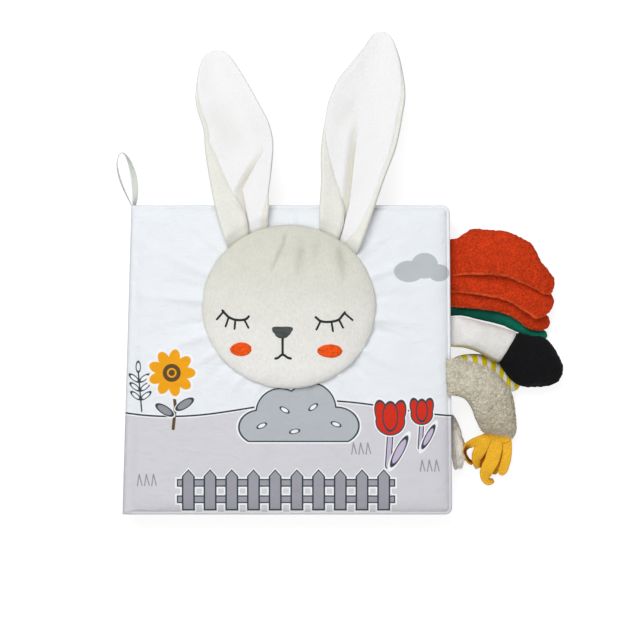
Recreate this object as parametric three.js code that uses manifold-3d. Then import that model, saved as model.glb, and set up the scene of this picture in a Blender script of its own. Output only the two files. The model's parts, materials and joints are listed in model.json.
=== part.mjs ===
// A crinkle cloth book that lies closed on its back cover, with a rabbit face, two ears and tails of plush.
// Units are millimetres and degrees. The origin is the middle of the back cover's underside, +X points to the
// fore edge, +Y to the top edge with the ears, and +Z up to the face.

import * as THREE from "three";
import { mergeVertices } from "three/addons/utils/BufferGeometryUtils.js";
import Module from "manifold-3d";

const wasm = await Module();
wasm.setup();

// Driving dimensions

const coverWidth = 227.3; // at mid height, from the spine's outer face to the fore edge
const coverHeight = 217;
const spineLean = 1.663; // degrees by which the spine edge leans to the fore edge at its top
const foreLean = -0.462;
const coverThickness = 6;
const leafThickness = 5.5;
const leafCount = 3;
const pageGap = 0.8;
const clearance = 0.3; // between touching pieces
const fabricWall = 0.8;
const filmThickness = 0.4;
const filmMargin = 3;
const coverCorner = 5;
const edgeRadius = 1.9;
const coverCrown = 1.2;
const crownInset = 14;

const spineFabric = 0.9;
const spineTape = 0.8;
const spineFoot = 2.6; // height of the spine cloth's lower edge over the rest surface
const flangeThickness = 1.8;
const flangeEndMargin = 9; // from the board's top and bottom edges
const flangeLength = 4.5; // from a hinge axis to the board's body

const faceCentre = { x: 0, y: 37.4 };
const faceHalfWidth = 60.6;
const faceHalfHeight = 57;
const faceSide = 2;
const faceRise = 10;
const faceFabric = 1;

const threadWidth = 1.4;
const threadThickness = 0.6;
const cheekHalfWidth = 8.2;
const cheekHalfHeight = 5;

const earThickness = 5.2;
const earCup = 4.2; // by which the ear's edges stand over its middle
const earSag = 4;
const earFabric = 0.8;
const earRootDepth = 6; // by which the root reaches below the ear's base, before the face cuts it
const leftEar = { length: 133, lean: 10.25, x: -27.9, y: 86.8 };
const rightEar = { length: 150, lean: -12.4, x: 33, y: 84 };

const noseHalfWidth = 6.6;
const noseHalfHeight = 4.2;

const tailSeam = 1.2; // thickness of a tail's sewn root
const thickTailSeam = 1.8;
const seamGap = 0.45; // from the fore edge to a tail's sewn root
const tableGap = 0.8; // height of the tails' undersides over the rest surface
const tailFabric = 0.8;
const beigeTail = { y: -12, reach: 40, halfWidth: 16, halfHeight: 10.6, restZ: 9.5 };
const whiteTail = { y: 19.9, reach: 76, halfWidth: 18, halfHeight: 12.8 };
const stripedTail = { y: -3.6, reach: 44, halfWidth: 6.8, halfHeight: 6.4 };
const creamTail = { y: -41.5, reach: 36, halfWidth: 4.2, halfHeight: 7.4 };
const lobeReach = 68;
const lobeSpacing = 0.6; // by which each red lobe is sewn further out than the one under it
// A lobe's lift height is how far it rests above its sewn root.
const redLobe1 = { y: 71.4, halfWidth: 16.5, halfHeight: 5, liftHeight: 8 };
const redLobe2 = { y: 58.4, halfWidth: 11.8, halfHeight: 3.4, liftHeight: 1 };
const redLobe3 = { y: 48.4, halfWidth: 11.4, halfHeight: 3.2, liftHeight: -6.4 };
const greenLobe = { y: 37.9, halfWidth: 8.3, halfHeight: 2.4, liftHeight: -10 };

const tasselLength = 30;
const tasselHalfWidth = 4.3; // of its widest strip
const tasselThickness = 1.6;

const ribbonLength = 36;
const ribbonWidth = 6;
const ribbonThickness = 0.9;
const ribbonHeight = 23; // height of its sewn end over the rest surface
const ribbonEndWidth = 3.4; // of the two legs sewn together at the spine's end

// Levels of the stack, from the rest surface up

const leafPitch = leafThickness + pageGap;
const frontCoverLow = coverThickness + pageGap + leafCount * leafPitch;
const frontCoverHigh = frontCoverLow + coverThickness;
const faceLow = frontCoverHigh + coverCrown + clearance;
const spineHingeInset = spineFabric + clearance + spineTape + clearance + flangeThickness / 2;
const bodyInset = spineHingeInset + flangeLength;

function leafLow(number) {
  return frontCoverLow - number * leafPitch;
}

// Materials

function cloth(color, roughness) {
  return new THREE.MeshStandardMaterial({ color, roughness, metalness: 0 });
}

const materials = {
  print: cloth(0xe9edf2, 0.85),
  page: cloth(0xdcdde2, 0.85),
  wadding: cloth(0xf4f4f0, 1),
  film: cloth(0xe8eef0, 0.25),
  tape: cloth(0xd9dbe0, 0.9),
  beige: cloth(0xddd9cf, 0.95),
  white: cloth(0xf6f6f4, 0.95),
  thread: cloth(0x2d3232, 0.6),
  nose: cloth(0x4c544e, 0.7),
  cheek: cloth(0xe95d1b, 0.7),
  red: cloth(0xc43c1a, 0.95),
  green: cloth(0x1f6b54, 0.9),
  black: cloth(0x1a1b20, 0.95),
  stripe: cloth(0xdcc63a, 0.85),
  tan: cloth(0xb8af9b, 0.98),
  yellow: cloth(0xf0ab26, 0.95),
  cream: cloth(0xdcd6cd, 1),
  ribbon: cloth(0xdfe4df, 0.7),
};

// Closed surfaces

function signedVolume(points, faces) {
  let volume = 0;
  for (const [a, b, c] of faces) {
    volume += points[a].dot(new THREE.Vector3().crossVectors(points[b], points[c]));
  }
  return volume / 6;
}

function closedGeometry(points, faces) {
  const outward = signedVolume(points, faces) > 0;
  const geometry = new THREE.BufferGeometry();
  geometry.setAttribute("position", new THREE.Float32BufferAttribute(points.flatMap((p) => p.toArray()), 3));
  geometry.setIndex(faces.flatMap(([a, b, c]) => (outward ? [a, b, c] : [a, c, b])));
  return geometry;
}

// A solid skinned over rings of equally many points, each end closed by a fan around the ring's middle.
function ringSolid(rings) {
  const count = rings[0].length;
  const points = rings.flat();
  const faces = [];
  for (let ring = 0; ring < rings.length - 1; ring++) {
    for (let i = 0; i < count; i++) {
      const here = ring * count + i;
      const next = ring * count + ((i + 1) % count);
      faces.push([here, next, next + count], [here, next + count, here + count]);
    }
  }
  for (const end of [0, rings.length - 1]) {
    const middle = new THREE.Vector3();
    rings[end].forEach((p) => middle.addScaledVector(p, 1 / count));
    points.push(middle);
    for (let i = 0; i < count; i++) {
      const here = end * count + i;
      const next = end * count + ((i + 1) % count);
      faces.push(end === 0 ? [next, here, points.length - 1] : [here, next, points.length - 1]);
    }
  }
  return closedGeometry(points, faces);
}

// A sheet between two grids of points, rows of equal length, closed along all four sides.
function sheetSolid(lowRows, highRows) {
  const rows = lowRows.length;
  const columns = lowRows[0].length;
  const points = [...lowRows.flat(), ...highRows.flat()];
  const high = rows * columns;
  const faces = [];
  const quad = (a, b, c, d) => faces.push([a, b, c], [a, c, d]);
  for (let r = 0; r < rows - 1; r++) {
    for (let c = 0; c < columns - 1; c++) {
      const a = r * columns + c;
      quad(a, a + columns, a + columns + 1, a + 1);
      quad(high + a, high + a + 1, high + a + columns + 1, high + a + columns);
    }
  }
  for (let c = 0; c < columns - 1; c++) {
    const last = (rows - 1) * columns + c;
    quad(c, c + 1, high + c + 1, high + c);
    quad(last + 1, last, high + last, high + last + 1);
  }
  for (let r = 0; r < rows - 1; r++) {
    const left = r * columns;
    const right = left + columns - 1;
    quad(left + columns, left, high + left, high + left + columns);
    quad(right, right + columns, high + right + columns, high + right);
  }
  return closedGeometry(points, faces);
}

// Booleans

function solidOf(geometry) {
  const bare = geometry.clone();
  bare.deleteAttribute("normal");
  bare.deleteAttribute("uv");
  const merged = mergeVertices(bare);
  return new wasm.Manifold(
    new wasm.Mesh({
      numProp: 3,
      vertProperties: merged.attributes.position.array,
      triVerts: new Uint32Array(merged.index.array),
    }),
  );
}

function geometryOf(solid) {
  const { numProp, vertProperties, triVerts } = solid.getMesh();
  const geometry = new THREE.BufferGeometry();
  const stored = new THREE.InterleavedBuffer(new Float32Array(vertProperties), numProp);
  geometry.setAttribute("position", new THREE.InterleavedBufferAttribute(stored, 3, 0));
  geometry.setIndex(new THREE.BufferAttribute(new Uint32Array(triVerts), 1));
  return geometry.toNonIndexed();
}

function join(geometries) {
  return geometryOf(geometries.map(solidOf).reduce((whole, piece) => whole.add(piece)));
}

function cut(geometry, tool) {
  return geometryOf(solidOf(geometry).subtract(solidOf(tool)));
}

// Outlines and curves

function mix(a, b, share) {
  return a + (b - a) * share;
}

function smoothValue(values, share) {
  const place = THREE.MathUtils.clamp(share, 0, 1) * (values.length - 1);
  const i = Math.min(Math.floor(place), values.length - 2);
  const t = place - i;
  const before = values[Math.max(i - 1, 0)];
  const after = values[Math.min(i + 2, values.length - 1)];
  const startSlope = (values[i + 1] - before) / 2;
  const endSlope = (after - values[i]) / 2;
  const rise = values[i + 1] - values[i];
  const square = 3 * rise - 2 * startSlope - endSlope;
  const cube = startSlope + endSlope - 2 * rise;
  return values[i] + t * (startSlope + t * (square + t * cube));
}

function leanAt(lean, y) {
  return y * Math.tan(THREE.MathUtils.degToRad(lean));
}

function spineX(y) {
  return -coverWidth / 2 + leanAt(spineLean, y);
}

function foreX(y) {
  return coverWidth / 2 + leanAt(foreLean, y);
}

// The board's outline at a height: a leaning rectangle with round corners, drawn in by an inset.
const cornerSteps = 4;

function boardRing(inset, z) {
  const half = coverHeight / 2 - inset;
  const radius = Math.max(coverCorner - inset, coverCorner / 5);
  const corners = [
    [foreX(half) - inset, half, 0],
    [spineX(half) + bodyInset + inset, half, 90],
    [spineX(-half) + bodyInset + inset, -half, 180],
    [foreX(-half) - inset, -half, 270],
  ];
  return corners.flatMap(([x, y, start]) => {
    const middle = THREE.MathUtils.degToRad(start + 45);
    const cx = x - Math.sign(Math.cos(middle)) * radius;
    const cy = y - Math.sign(Math.sin(middle)) * radius;
    return Array.from({ length: cornerSteps + 1 }, (_, i) => {
      const angle = THREE.MathUtils.degToRad(start + (90 * i) / cornerSteps);
      return new THREE.Vector3(cx + radius * Math.cos(angle), cy + radius * Math.sin(angle), z);
    });
  });
}

// Rings from a board's seam to its top or bottom face. Up is 1 for the upper half and -1 for the lower.
const edgeSteps = 3;

function shellRings(seamZ, faceZ, up, inset, radius, crown) {
  const rings = [boardRing(inset, seamZ)];
  for (let i = 0; i <= edgeSteps; i++) {
    const angle = (Math.PI / 2) * (i / edgeSteps);
    const drawnIn = inset + radius * (1 - Math.cos(angle));
    rings.push(boardRing(drawnIn, faceZ - up * radius * (1 - Math.sin(angle))));
  }
  if (crown > 0) {
    rings.push(boardRing(crownInset / 2, faceZ + up * crown * (3 / 4)));
    rings.push(boardRing(crownInset, faceZ + up * crown));
  }
  return rings;
}

// Boards: each cover or leaf is two cloths sewn at the seam, with wadding and crinkle film between them

function panGeometry(seamZ, faceZ, up, crown) {
  const outer = shellRings(seamZ, faceZ, up, 0, edgeRadius, crown);
  const innerRadius = edgeRadius - fabricWall / 2;
  const inner = shellRings(seamZ, faceZ - up * fabricWall, up, fabricWall, innerRadius, crown);
  return ringSolid([...outer.reverse(), ...inner]);
}

// The seam allowance at the binding edge: a thin strip whose round end turns about the hinge axis.
function flangeGeometry(topZ) {
  const radius = flangeThickness / 2;
  const reach = flangeLength + fabricWall * 0.7;
  const profile = new THREE.Shape();
  profile.moveTo(reach, -radius);
  profile.lineTo(reach, radius);
  profile.lineTo(0, radius);
  profile.absarc(0, 0, radius, Math.PI / 2, Math.PI * 1.5, false);
  const length = coverHeight - 2 * flangeEndMargin;
  const strip = new THREE.ExtrudeGeometry(profile, { depth: length, bevelEnabled: false, curveSegments: 6 });
  strip.rotateX(Math.PI / 2);
  strip.translate(spineHingeInset, length / 2, topZ - radius);
  return strip.applyMatrix4(spineMatrix());
}

function spineMatrix() {
  const turn = new THREE.Matrix4().makeRotationZ(-THREE.MathUtils.degToRad(spineLean));
  return turn.setPosition(-coverWidth / 2, 0, 0);
}

function sheetBetween(lowZ, highZ, inset) {
  return ringSolid([boardRing(inset, lowZ), boardRing(inset, highZ)]);
}

function waddingGeometry(lowZ, highZ, crown) {
  const inset = fabricWall + 2 * clearance;
  const rings = shellRings(lowZ, highZ, 1, inset, edgeRadius / 2, crown);
  return ringSolid(rings);
}

function board(name, lowZ, thickness, crown, outer, inner) {
  const group = new THREE.Group();
  const seam = lowZ + thickness / 2;
  const half = clearance / 2;
  const lower = join([panGeometry(seam - half, lowZ, -1, 0), flangeGeometry(seam - half)]);
  const filmZ = lowZ + fabricWall + clearance;
  const waddingLow = filmZ + filmThickness + clearance;
  const waddingHigh = lowZ + thickness - fabricWall - clearance;
  group.add(
    mesh(`${name}_${outer.lower}`, lower, outer.lowerMaterial),
    mesh(`${name}_crinkle_film`, sheetBetween(filmZ, filmZ + filmThickness, filmMargin), materials.film),
    mesh(`${name}_wadding`, waddingGeometry(waddingLow, waddingHigh, crown), materials.wadding),
    mesh(`${name}_${inner.upper}`, panGeometry(seam + half, lowZ + thickness, 1, crown), inner.upperMaterial),
  );
  return group;
}

function mesh(name, geometry, material) {
  const made = new THREE.Mesh(geometry, material);
  made.name = name;
  return made;
}

// Spine: the outer cloth and the binding tape inside it, both upright strips along the leaning edge

function stripGeometry(inset, thickness, lowZ, highZ) {
  const strip = new THREE.BoxGeometry(thickness, coverHeight, highZ - lowZ);
  strip.translate(inset + thickness / 2, 0, (lowZ + highZ) / 2);
  return strip.applyMatrix4(spineMatrix());
}

function spine() {
  const group = new THREE.Group();
  const topZ = frontCoverLow + coverThickness / 2 - clearance / 2 - flangeThickness / 2 - clearance;
  const tapeInset = spineFabric + clearance;
  group.add(
    mesh("spine_outer_fabric", stripGeometry(0, spineFabric, spineFoot, topZ), materials.print),
    mesh("spine_binding_tape", stripGeometry(tapeInset, spineTape, spineFoot, topZ), materials.tape),
  );
  return group;
}

// Hanging ribbon: a flat ribbon that leaves the top of the spine, loops over and comes back, with a twist.
// Each row is a place along and across the loop and the ribbon's twist, as shares of its length and of a
// half turn.
const ribbonShares = [
  [0.02, 0.07, 0.3],
  [0.062, 0.222, 0.32],
  [0.05, 0.458, 0.35],
  [0.011, 0.656, 0.4],
  [-0.067, 0.833, 0.44],
  [-0.15, 0.956, 0.48],
  [-0.233, 1, 0.5],
  [-0.306, 0.922, 0.5],
  [-0.337, 0.744, 0.5],
  [-0.289, 0.528, 0.5],
  [-0.178, 0.239, 0.5],
  [-0.02, 0.07, 0.5],
];

function ribbonLoop() {
  const centres = ribbonShares.map(([x, y]) => new THREE.Vector2(x * ribbonLength, y * ribbonLength));
  const rows = centres.map((centre, i) => {
    const before = centres[Math.max(i - 1, 0)];
    const after = centres[Math.min(i + 1, centres.length - 1)];
    const along = after.clone().sub(before).normalize();
    const twist = ribbonShares[i][2] * Math.PI;
    const side = new THREE.Vector3(along.y * Math.cos(twist), -along.x * Math.cos(twist), Math.sin(twist));
    const up = new THREE.Vector3(along.y * Math.sin(twist), -along.x * Math.sin(twist), -Math.cos(twist));
    const at = (across, over) =>
      new THREE.Vector3(centre.x, centre.y, 0)
        .addScaledVector(side, (across * ribbonWidth) / 2)
        .addScaledVector(up, (over * ribbonThickness) / 2);
    return { low: [at(-1, -1), at(1, -1)], high: [at(-1, 1), at(1, 1)] };
  });
  const loop = sheetSolid(rows.map((row) => row.low), rows.map((row) => row.high));
  const sewnEnd = new THREE.CylinderGeometry(ribbonWidth / 2, ribbonWidth / 2, ribbonEndWidth, 16);
  sewnEnd.rotateZ(Math.PI / 2);
  sewnEnd.translate(0, ribbonWidth / 2, 0);
  const geometry = join([loop, sewnEnd]);
  const spineMiddle = (spineFabric + clearance + spineTape) / 2;
  geometry.translate(spineMiddle, coverHeight / 2 + clearance, ribbonHeight);
  return mesh("hanging_ribbon", geometry.applyMatrix4(spineMatrix()), materials.ribbon);
}

// Face: a pillow with steep sides and a flat top, sewn on the front cover

const faceRoundness = 2.6;
const faceShoulder = 0.6;
const faceRingShares = [1, 0.99, 0.965, 0.92, 0.85, 0.74, 0.58, 0.38, 0.18];
const faceSteps = 32;

function faceRiseAt(share) {
  return Math.pow(Math.max(1 - Math.pow(share, faceRoundness), 0), faceShoulder);
}

function faceZ(x, y) {
  const share = Math.hypot(x / faceHalfWidth, y / faceHalfHeight);
  return faceLow + faceSide + faceRise * faceRiseAt(Math.min(share, 1));
}

function faceRing(halfWidth, halfHeight, z) {
  return Array.from({ length: faceSteps }, (_, i) => {
    const angle = (2 * Math.PI * i) / faceSteps;
    return new THREE.Vector3(halfWidth * Math.cos(angle), halfHeight * Math.sin(angle), z);
  });
}

function faceRings(inset, lowZ) {
  const width = faceHalfWidth - inset;
  const height = faceHalfHeight - inset;
  const rings = [faceRing(width, height, lowZ)];
  for (const share of faceRingShares) {
    const z = faceLow + faceSide + faceRise * faceRiseAt(share) - inset;
    rings.push(faceRing(width * share, height * share, z));
  }
  return rings;
}

function face() {
  const group = new THREE.Group();
  const shell = ringSolid([...faceRings(0, faceLow).reverse(), ...faceRings(faceFabric, faceLow)]);
  const stuffing = ringSolid(faceRings(faceFabric + clearance, faceLow));
  group.add(
    mesh("face_plush", shell, materials.beige),
    mesh("face_stuffing", stuffing, materials.wadding),
    ...embroidery(),
  );
  group.position.set(faceCentre.x, faceCentre.y, 0);
  return group;
}

// Embroidery: thin patches of thread that follow the face. Points are shares of the face's half width.

function onFace(x, y, lift) {
  return new THREE.Vector3(x, y, faceZ(x, y) + lift);
}

function sewnRow(points) {
  return {
    low: points.map(([x, y]) => onFace(x, y, clearance)),
    high: points.map(([x, y]) => onFace(x, y, clearance + threadThickness)),
  };
}

function sewnLine(shares) {
  const centres = shares.map(([x, y]) => new THREE.Vector2(x, y).multiplyScalar(faceHalfWidth));
  const rows = centres.map((centre, i) => {
    const before = centres[Math.max(i - 1, 0)];
    const after = centres[Math.min(i + 1, centres.length - 1)];
    const side = after.clone().sub(before).normalize().multiplyScalar(threadWidth / 2);
    return sewnRow([
      [centre.x - side.y, centre.y + side.x],
      [centre.x + side.y, centre.y - side.x],
    ]);
  });
  return sheetSolid(rows.map((row) => row.low), rows.map((row) => row.high));
}

const discSteps = 16;

function sewnDisc(centreShares, outline) {
  const rings = [1, 1 / 2].map((share) =>
    Array.from({ length: discSteps }, (_, i) => {
      const [x, y] = outline((2 * Math.PI * i) / discSteps);
      return [centreShares[0] * faceHalfWidth + share * x, centreShares[1] * faceHalfWidth + share * y];
    }),
  );
  const raised = (lift) => rings.map((ring) => ring.map(([x, y]) => onFace(x, y, lift)));
  return ringSolid([...raised(clearance).reverse(), ...raised(clearance + threadThickness)]);
}

const eyeShares = {
  left: {
    lid: [
      [-0.77, -0.036],
      [-0.727, -0.085],
      [-0.681, -0.126],
      [-0.596, -0.155],
      [-0.498, -0.148],
      [-0.45, -0.106],
    ],
    lashes: [
      [[-0.75, -0.06], [-0.834, -0.155]],
      [[-0.688, -0.12], [-0.729, -0.238]],
      [[-0.612, -0.15], [-0.623, -0.267]],
      [[-0.51, -0.15], [-0.457, -0.253]],
    ],
  },
  right: {
    lid: [
      [0.301, -0.116],
      [0.37, -0.168],
      [0.468, -0.177],
      [0.566, -0.155],
      [0.614, -0.106],
      [0.651, -0.057],
    ],
    lashes: [
      [[0.367, -0.166], [0.314, -0.273]],
      [[0.49, -0.174], [0.51, -0.294]],
      [[0.575, -0.148], [0.629, -0.252]],
      [[0.638, -0.075], [0.741, -0.162]],
    ],
  },
};
const mouthShares = {
  stem: [[-0.07, -0.385], [-0.07, -0.47], [-0.07, -0.554]],
  curve: [[-0.161, -0.588], [-0.125, -0.578], [-0.07, -0.545], [-0.01, -0.576], [0.031, -0.588]],
};
const noseShares = [-0.078, -0.277];
const cheekShares = { left: [-0.565, -0.49], right: [0.471, -0.512] };

// A triangle with round corners and its tip down.
function noseOutline(angle) {
  const reach = 1 - 0.2 * Math.cos(3 * (angle + Math.PI / 2) + Math.PI);
  return [noseHalfWidth * reach * Math.cos(angle), noseHalfHeight * reach * Math.sin(angle)];
}

function cheekOutline(angle) {
  return [cheekHalfWidth * Math.cos(angle), cheekHalfHeight * Math.sin(angle)];
}

function embroidery() {
  const eyes = Object.entries(eyeShares).map(([side, { lid, lashes }]) =>
    mesh(`${side}_eye_embroidery`, join([sewnLine(lid), ...lashes.map(sewnLine)]), materials.thread),
  );
  return [
    ...eyes,
    mesh("nose_embroidery", sewnDisc(noseShares, noseOutline), materials.nose),
    mesh("mouth_embroidery", join(Object.values(mouthShares).map(sewnLine)), materials.thread),
    mesh("left_cheek_embroidery", sewnDisc(cheekShares.left, cheekOutline), materials.cheek),
    mesh("right_cheek_embroidery", sewnDisc(cheekShares.right, cheekOutline), materials.cheek),
  ];
}

// Ears: a beige outer cloth, a sheet of crinkle film and a white lining, cupped and folded in at the root.
// Widths are shares of the ear's length at equal steps from its root, up to where its round tip starts.
const earTipShare = 0.9;
const earShares = {
  left: {
    outerLeft: [0.118, 0.133, 0.142, 0.142, 0.142, 0.146, 0.139, 0.15, 0.145, 0.112],
    outerRight: [0.115, 0.128, 0.149, 0.176, 0.203, 0.216, 0.201, 0.175, 0.133, 0.096],
    liningLeft: [0.0, -0.005, 0.02, 0.054, 0.08, 0.105, 0.125, 0.138, 0.132, 0.1],
    liningRight: [0.05, 0.09, 0.135, 0.164, 0.191, 0.204, 0.189, 0.163, 0.121, 0.084],
  },
  right: {
    outerLeft: [0.093, 0.103, 0.118, 0.139, 0.158, 0.173, 0.18, 0.162, 0.126, 0.08],
    outerRight: [0.105, 0.132, 0.152, 0.163, 0.173, 0.183, 0.182, 0.175, 0.152, 0.112],
    liningLeft: [-0.01, -0.018, 0.012, 0.072, 0.119, 0.155, 0.168, 0.15, 0.114, 0.068],
    liningRight: [0.033, 0.075, 0.108, 0.132, 0.15, 0.168, 0.17, 0.163, 0.14, 0.1],
  },
};

// Both ears fold about one line just over the face, parallel to the book's top edge.
const earFoldY = faceCentre.y + faceHalfHeight + clearance;

function earHalfWidth(shares, place) {
  if (place <= earTipShare) return smoothValue(shares, place / earTipShare);
  const tip = (place - earTipShare) / (1 - earTipShare);
  return shares[shares.length - 1] * Math.sqrt(1 - tip * tip);
}

function earPlaces(from) {
  const body = [0, 0.12, 0.26, 0.4, 0.54, 0.68, 0.82, 0.92].map((share) => mix(from, earTipShare, share));
  const tip = [0, 0.45, 0.75, 0.93].map((share) => mix(earTipShare, 1, share));
  return [...body, ...tip];
}

// One layer of the ear between two depths over its underside. Its root end runs along the fold line, which is
// askew to the ear by its lean, and the skew fades towards the tip.
const earColumnShares = [-1, -0.7, -0.35, 0, 0.35, 0.7, 1];
const cupWidthShare = 0.12; // half width at which the ear has its full cup
const filmWidthShare = 0.8; // of the lining's width

function earLayer(ear, places, left, right, lowDepth, highDepth) {
  const skew = Math.tan(THREE.MathUtils.degToRad(ear.lean));
  const grid = (depth) =>
    places.map((place) => {
      const leftWidth = earHalfWidth(left, place) * ear.length;
      const rightWidth = earHalfWidth(right, place) * ear.length;
      const { outerLeft, outerRight } = ear.shares;
      const half = (earHalfWidth(outerLeft, place) + earHalfWidth(outerRight, place)) / 2;
      const cup = earCup * Math.min(1, half / cupWidthShare);
      const fade = Math.pow(1 - Math.max(place, 0), 2);
      return earColumnShares.map((column) => {
        const x = mix(-leftWidth, rightWidth, (column + 1) / 2);
        const y = place * ear.length - x * skew * fade;
        const across = Math.min(Math.abs(x) / (half * ear.length), 1);
        const sag = earSag * Math.pow(place, 2);
        return new THREE.Vector3(x, y, faceLow + cup * across * across - sag + depth);
      });
    });
  return sheetSolid(grid(lowDepth), grid(highDepth));
}

function foldPlace(ear, side) {
  const along = (earFoldY - ear.y) / Math.cos(THREE.MathUtils.degToRad(ear.lean));
  return (along + (side * clearance) / 2) / ear.length;
}

function earRoot(ear) {
  const places = [-earRootDepth / ear.length, foldPlace(ear, -1)];
  const { outerLeft, outerRight } = ear.shares;
  const block = earLayer(ear, places, outerLeft, outerRight, 0, earThickness);
  const margin = 2 * clearance;
  const face = ringSolid(
    [faceLow - earSag, faceLow + faceSide + faceRise].map((z) =>
      faceRing(faceHalfWidth + margin, faceHalfHeight + margin, z),
    ),
  );
  face.translate(faceCentre.x - ear.x, faceCentre.y - ear.y, 0);
  face.rotateZ(-THREE.MathUtils.degToRad(ear.lean));
  return cut(block, face);
}

function ear(side, dimensions) {
  const shares = earShares[side];
  const ear = { ...dimensions, shares };
  const group = new THREE.Group();
  const places = earPlaces(foldPlace(ear, 1));
  const outerDepth = earThickness - 2 * clearance - filmThickness - earFabric;
  const filmDepth = outerDepth + clearance;
  const liningDepth = filmDepth + filmThickness + clearance;
  const filmLeft = shares.liningLeft.map((share) => share * filmWidthShare);
  const filmRight = shares.liningRight.map((share) => share * filmWidthShare);
  group.add(
    mesh(`${side}_ear_root`, earRoot(ear), materials.beige),
    mesh(
      `${side}_ear_plush`,
      earLayer(ear, places, shares.outerLeft, shares.outerRight, 0, outerDepth),
      materials.beige,
    ),
    mesh(
      `${side}_ear_crinkle_film`,
      earLayer(ear, places.slice(0, -2), filmLeft, filmRight, filmDepth, filmDepth + filmThickness),
      materials.film,
    ),
    mesh(
      `${side}_ear_lining`,
      earLayer(ear, places, shares.liningLeft, shares.liningRight, liningDepth, earThickness),
      materials.white,
    ),
  );
  group.position.set(ear.x, ear.y, 0);
  group.rotation.z = THREE.MathUtils.degToRad(ear.lean);
  return group;
}

// Tails: each is a row of rings. A row of its shares gives the place along and across the tail's reach, how
// far it has come down from its root to its rest height, and its half width and half height.
const ringSteps = 12;
const noseAngles = [Math.PI / 6, Math.PI / 3]; // of a sewn root's round end, seen along the seam

// A ring at one row, drawn in by an inset and moved along the tail by a shift. Near the sewn end the rings
// lie along the seam, and they turn across the tail's course within a stretch as long as the tail is wide.
function tailRing(tail, index, inset, shift = 0) {
  const { shares, reach } = tail;
  const [along, across, down, width, height] = shares[index];
  const before = shares[Math.max(index - 1, 0)];
  const after = shares[Math.min(index + 1, shares.length - 1)];
  const course = new THREE.Vector2(after[0] - before[0], after[1] - before[1]).normalize();
  if (tail.seam) {
    const turned = index < 2 ? 0 : Math.min((along * reach) / (2 * tail.halfWidth * width), 1);
    course.lerp(new THREE.Vector2(1, 0), 1 - turned).normalize();
  }
  const side = new THREE.Vector3(-course.y, course.x, 0);
  const centre = new THREE.Vector3(along * reach, across * reach, mix(tail.rootZ, tail.restZ, down));
  centre.addScaledVector(new THREE.Vector3(course.x, course.y, 0), shift);
  const halfWidth = tail.halfWidth * width - inset;
  const halfHeight = tail.halfHeight * height - inset;
  return Array.from({ length: ringSteps }, (_, k) => {
    const angle = (2 * Math.PI * k) / ringSteps;
    const point = centre.clone().addScaledVector(side, halfWidth * Math.cos(angle));
    point.z += halfHeight * Math.sin(angle);
    return point;
  });
}

function tailRings(tail, first, last, inset) {
  const rings = [];
  for (let index = first; index <= last; index++) rings.push(tailRing(tail, index, inset));
  return rings;
}

// The round nose of a sewn root, which turns about the hinge axis at the tail's own origin.
function noseRings(tail) {
  const width = tail.halfWidth * tail.shares[0][3];
  const radius = tail.seam / 2;
  return noseAngles.map((turn) => {
    const back = -radius * Math.cos(turn);
    const half = radius * Math.sin(turn);
    return Array.from({ length: ringSteps }, (_, k) => {
      const angle = (2 * Math.PI * k) / ringSteps;
      return new THREE.Vector3(back, width * Math.cos(angle), tail.rootZ + half * Math.sin(angle));
    });
  });
}

function placed(tail, geometry) {
  return geometry.translate(tail.x, tail.y, 0);
}

function solidTail(tail) {
  return placed(tail, ringSolid([...noseRings(tail), ...tailRings(tail, 0, tail.shares.length - 1, 0)]));
}

// A skin with its sewn root closed and its far end open at the last row.
function openTail(tail, last, shift = 0) {
  const rim = (inset) => {
    const first = inset > 0 ? 1 : 0;
    return [...tailRings(tail, first, last - 1, inset), tailRing(tail, last, inset, shift)];
  };
  return placed(tail, ringSolid([...noseRings(tail), ...rim(0), ...rim(tailFabric).reverse()]));
}

// A skin that caps the tail's far end and is open at its first row.
function tailCap(tail, first, shift) {
  const last = tail.shares.length - 1;
  const outer = [tailRing(tail, first, 0, shift), ...tailRings(tail, first + 1, last, 0)];
  const inner = tailRings(tail, first + 1, last - 1, tailFabric);
  inner.unshift(tailRing(tail, first, tailFabric, shift));
  return placed(tail, ringSolid([...inner.reverse(), ...outer]));
}

// Its rings run back from the far end, so that its faces are split along the same lines as the skin's inner
// side.
function tailStuffing(tail) {
  const inset = tailFabric + clearance;
  const last = tail.shares.length - 2;
  const rings = [...tailRings(tail, 2, last - 1, inset), tailRing(tail, last, inset, -clearance)];
  return placed(tail, ringSolid(rings.reverse()));
}

// A tail's own origin lies on its hinge axis, in the middle of its sewn root's thickness.
function sewnTail(dimensions, rootZ, seam, shares, step = 0) {
  const restZ = dimensions.restZ ?? tableGap + dimensions.halfHeight;
  return { restZ, ...dimensions, x: foreX(dimensions.y) + seamGap + step + seam / 2, rootZ, seam, shares };
}

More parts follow.
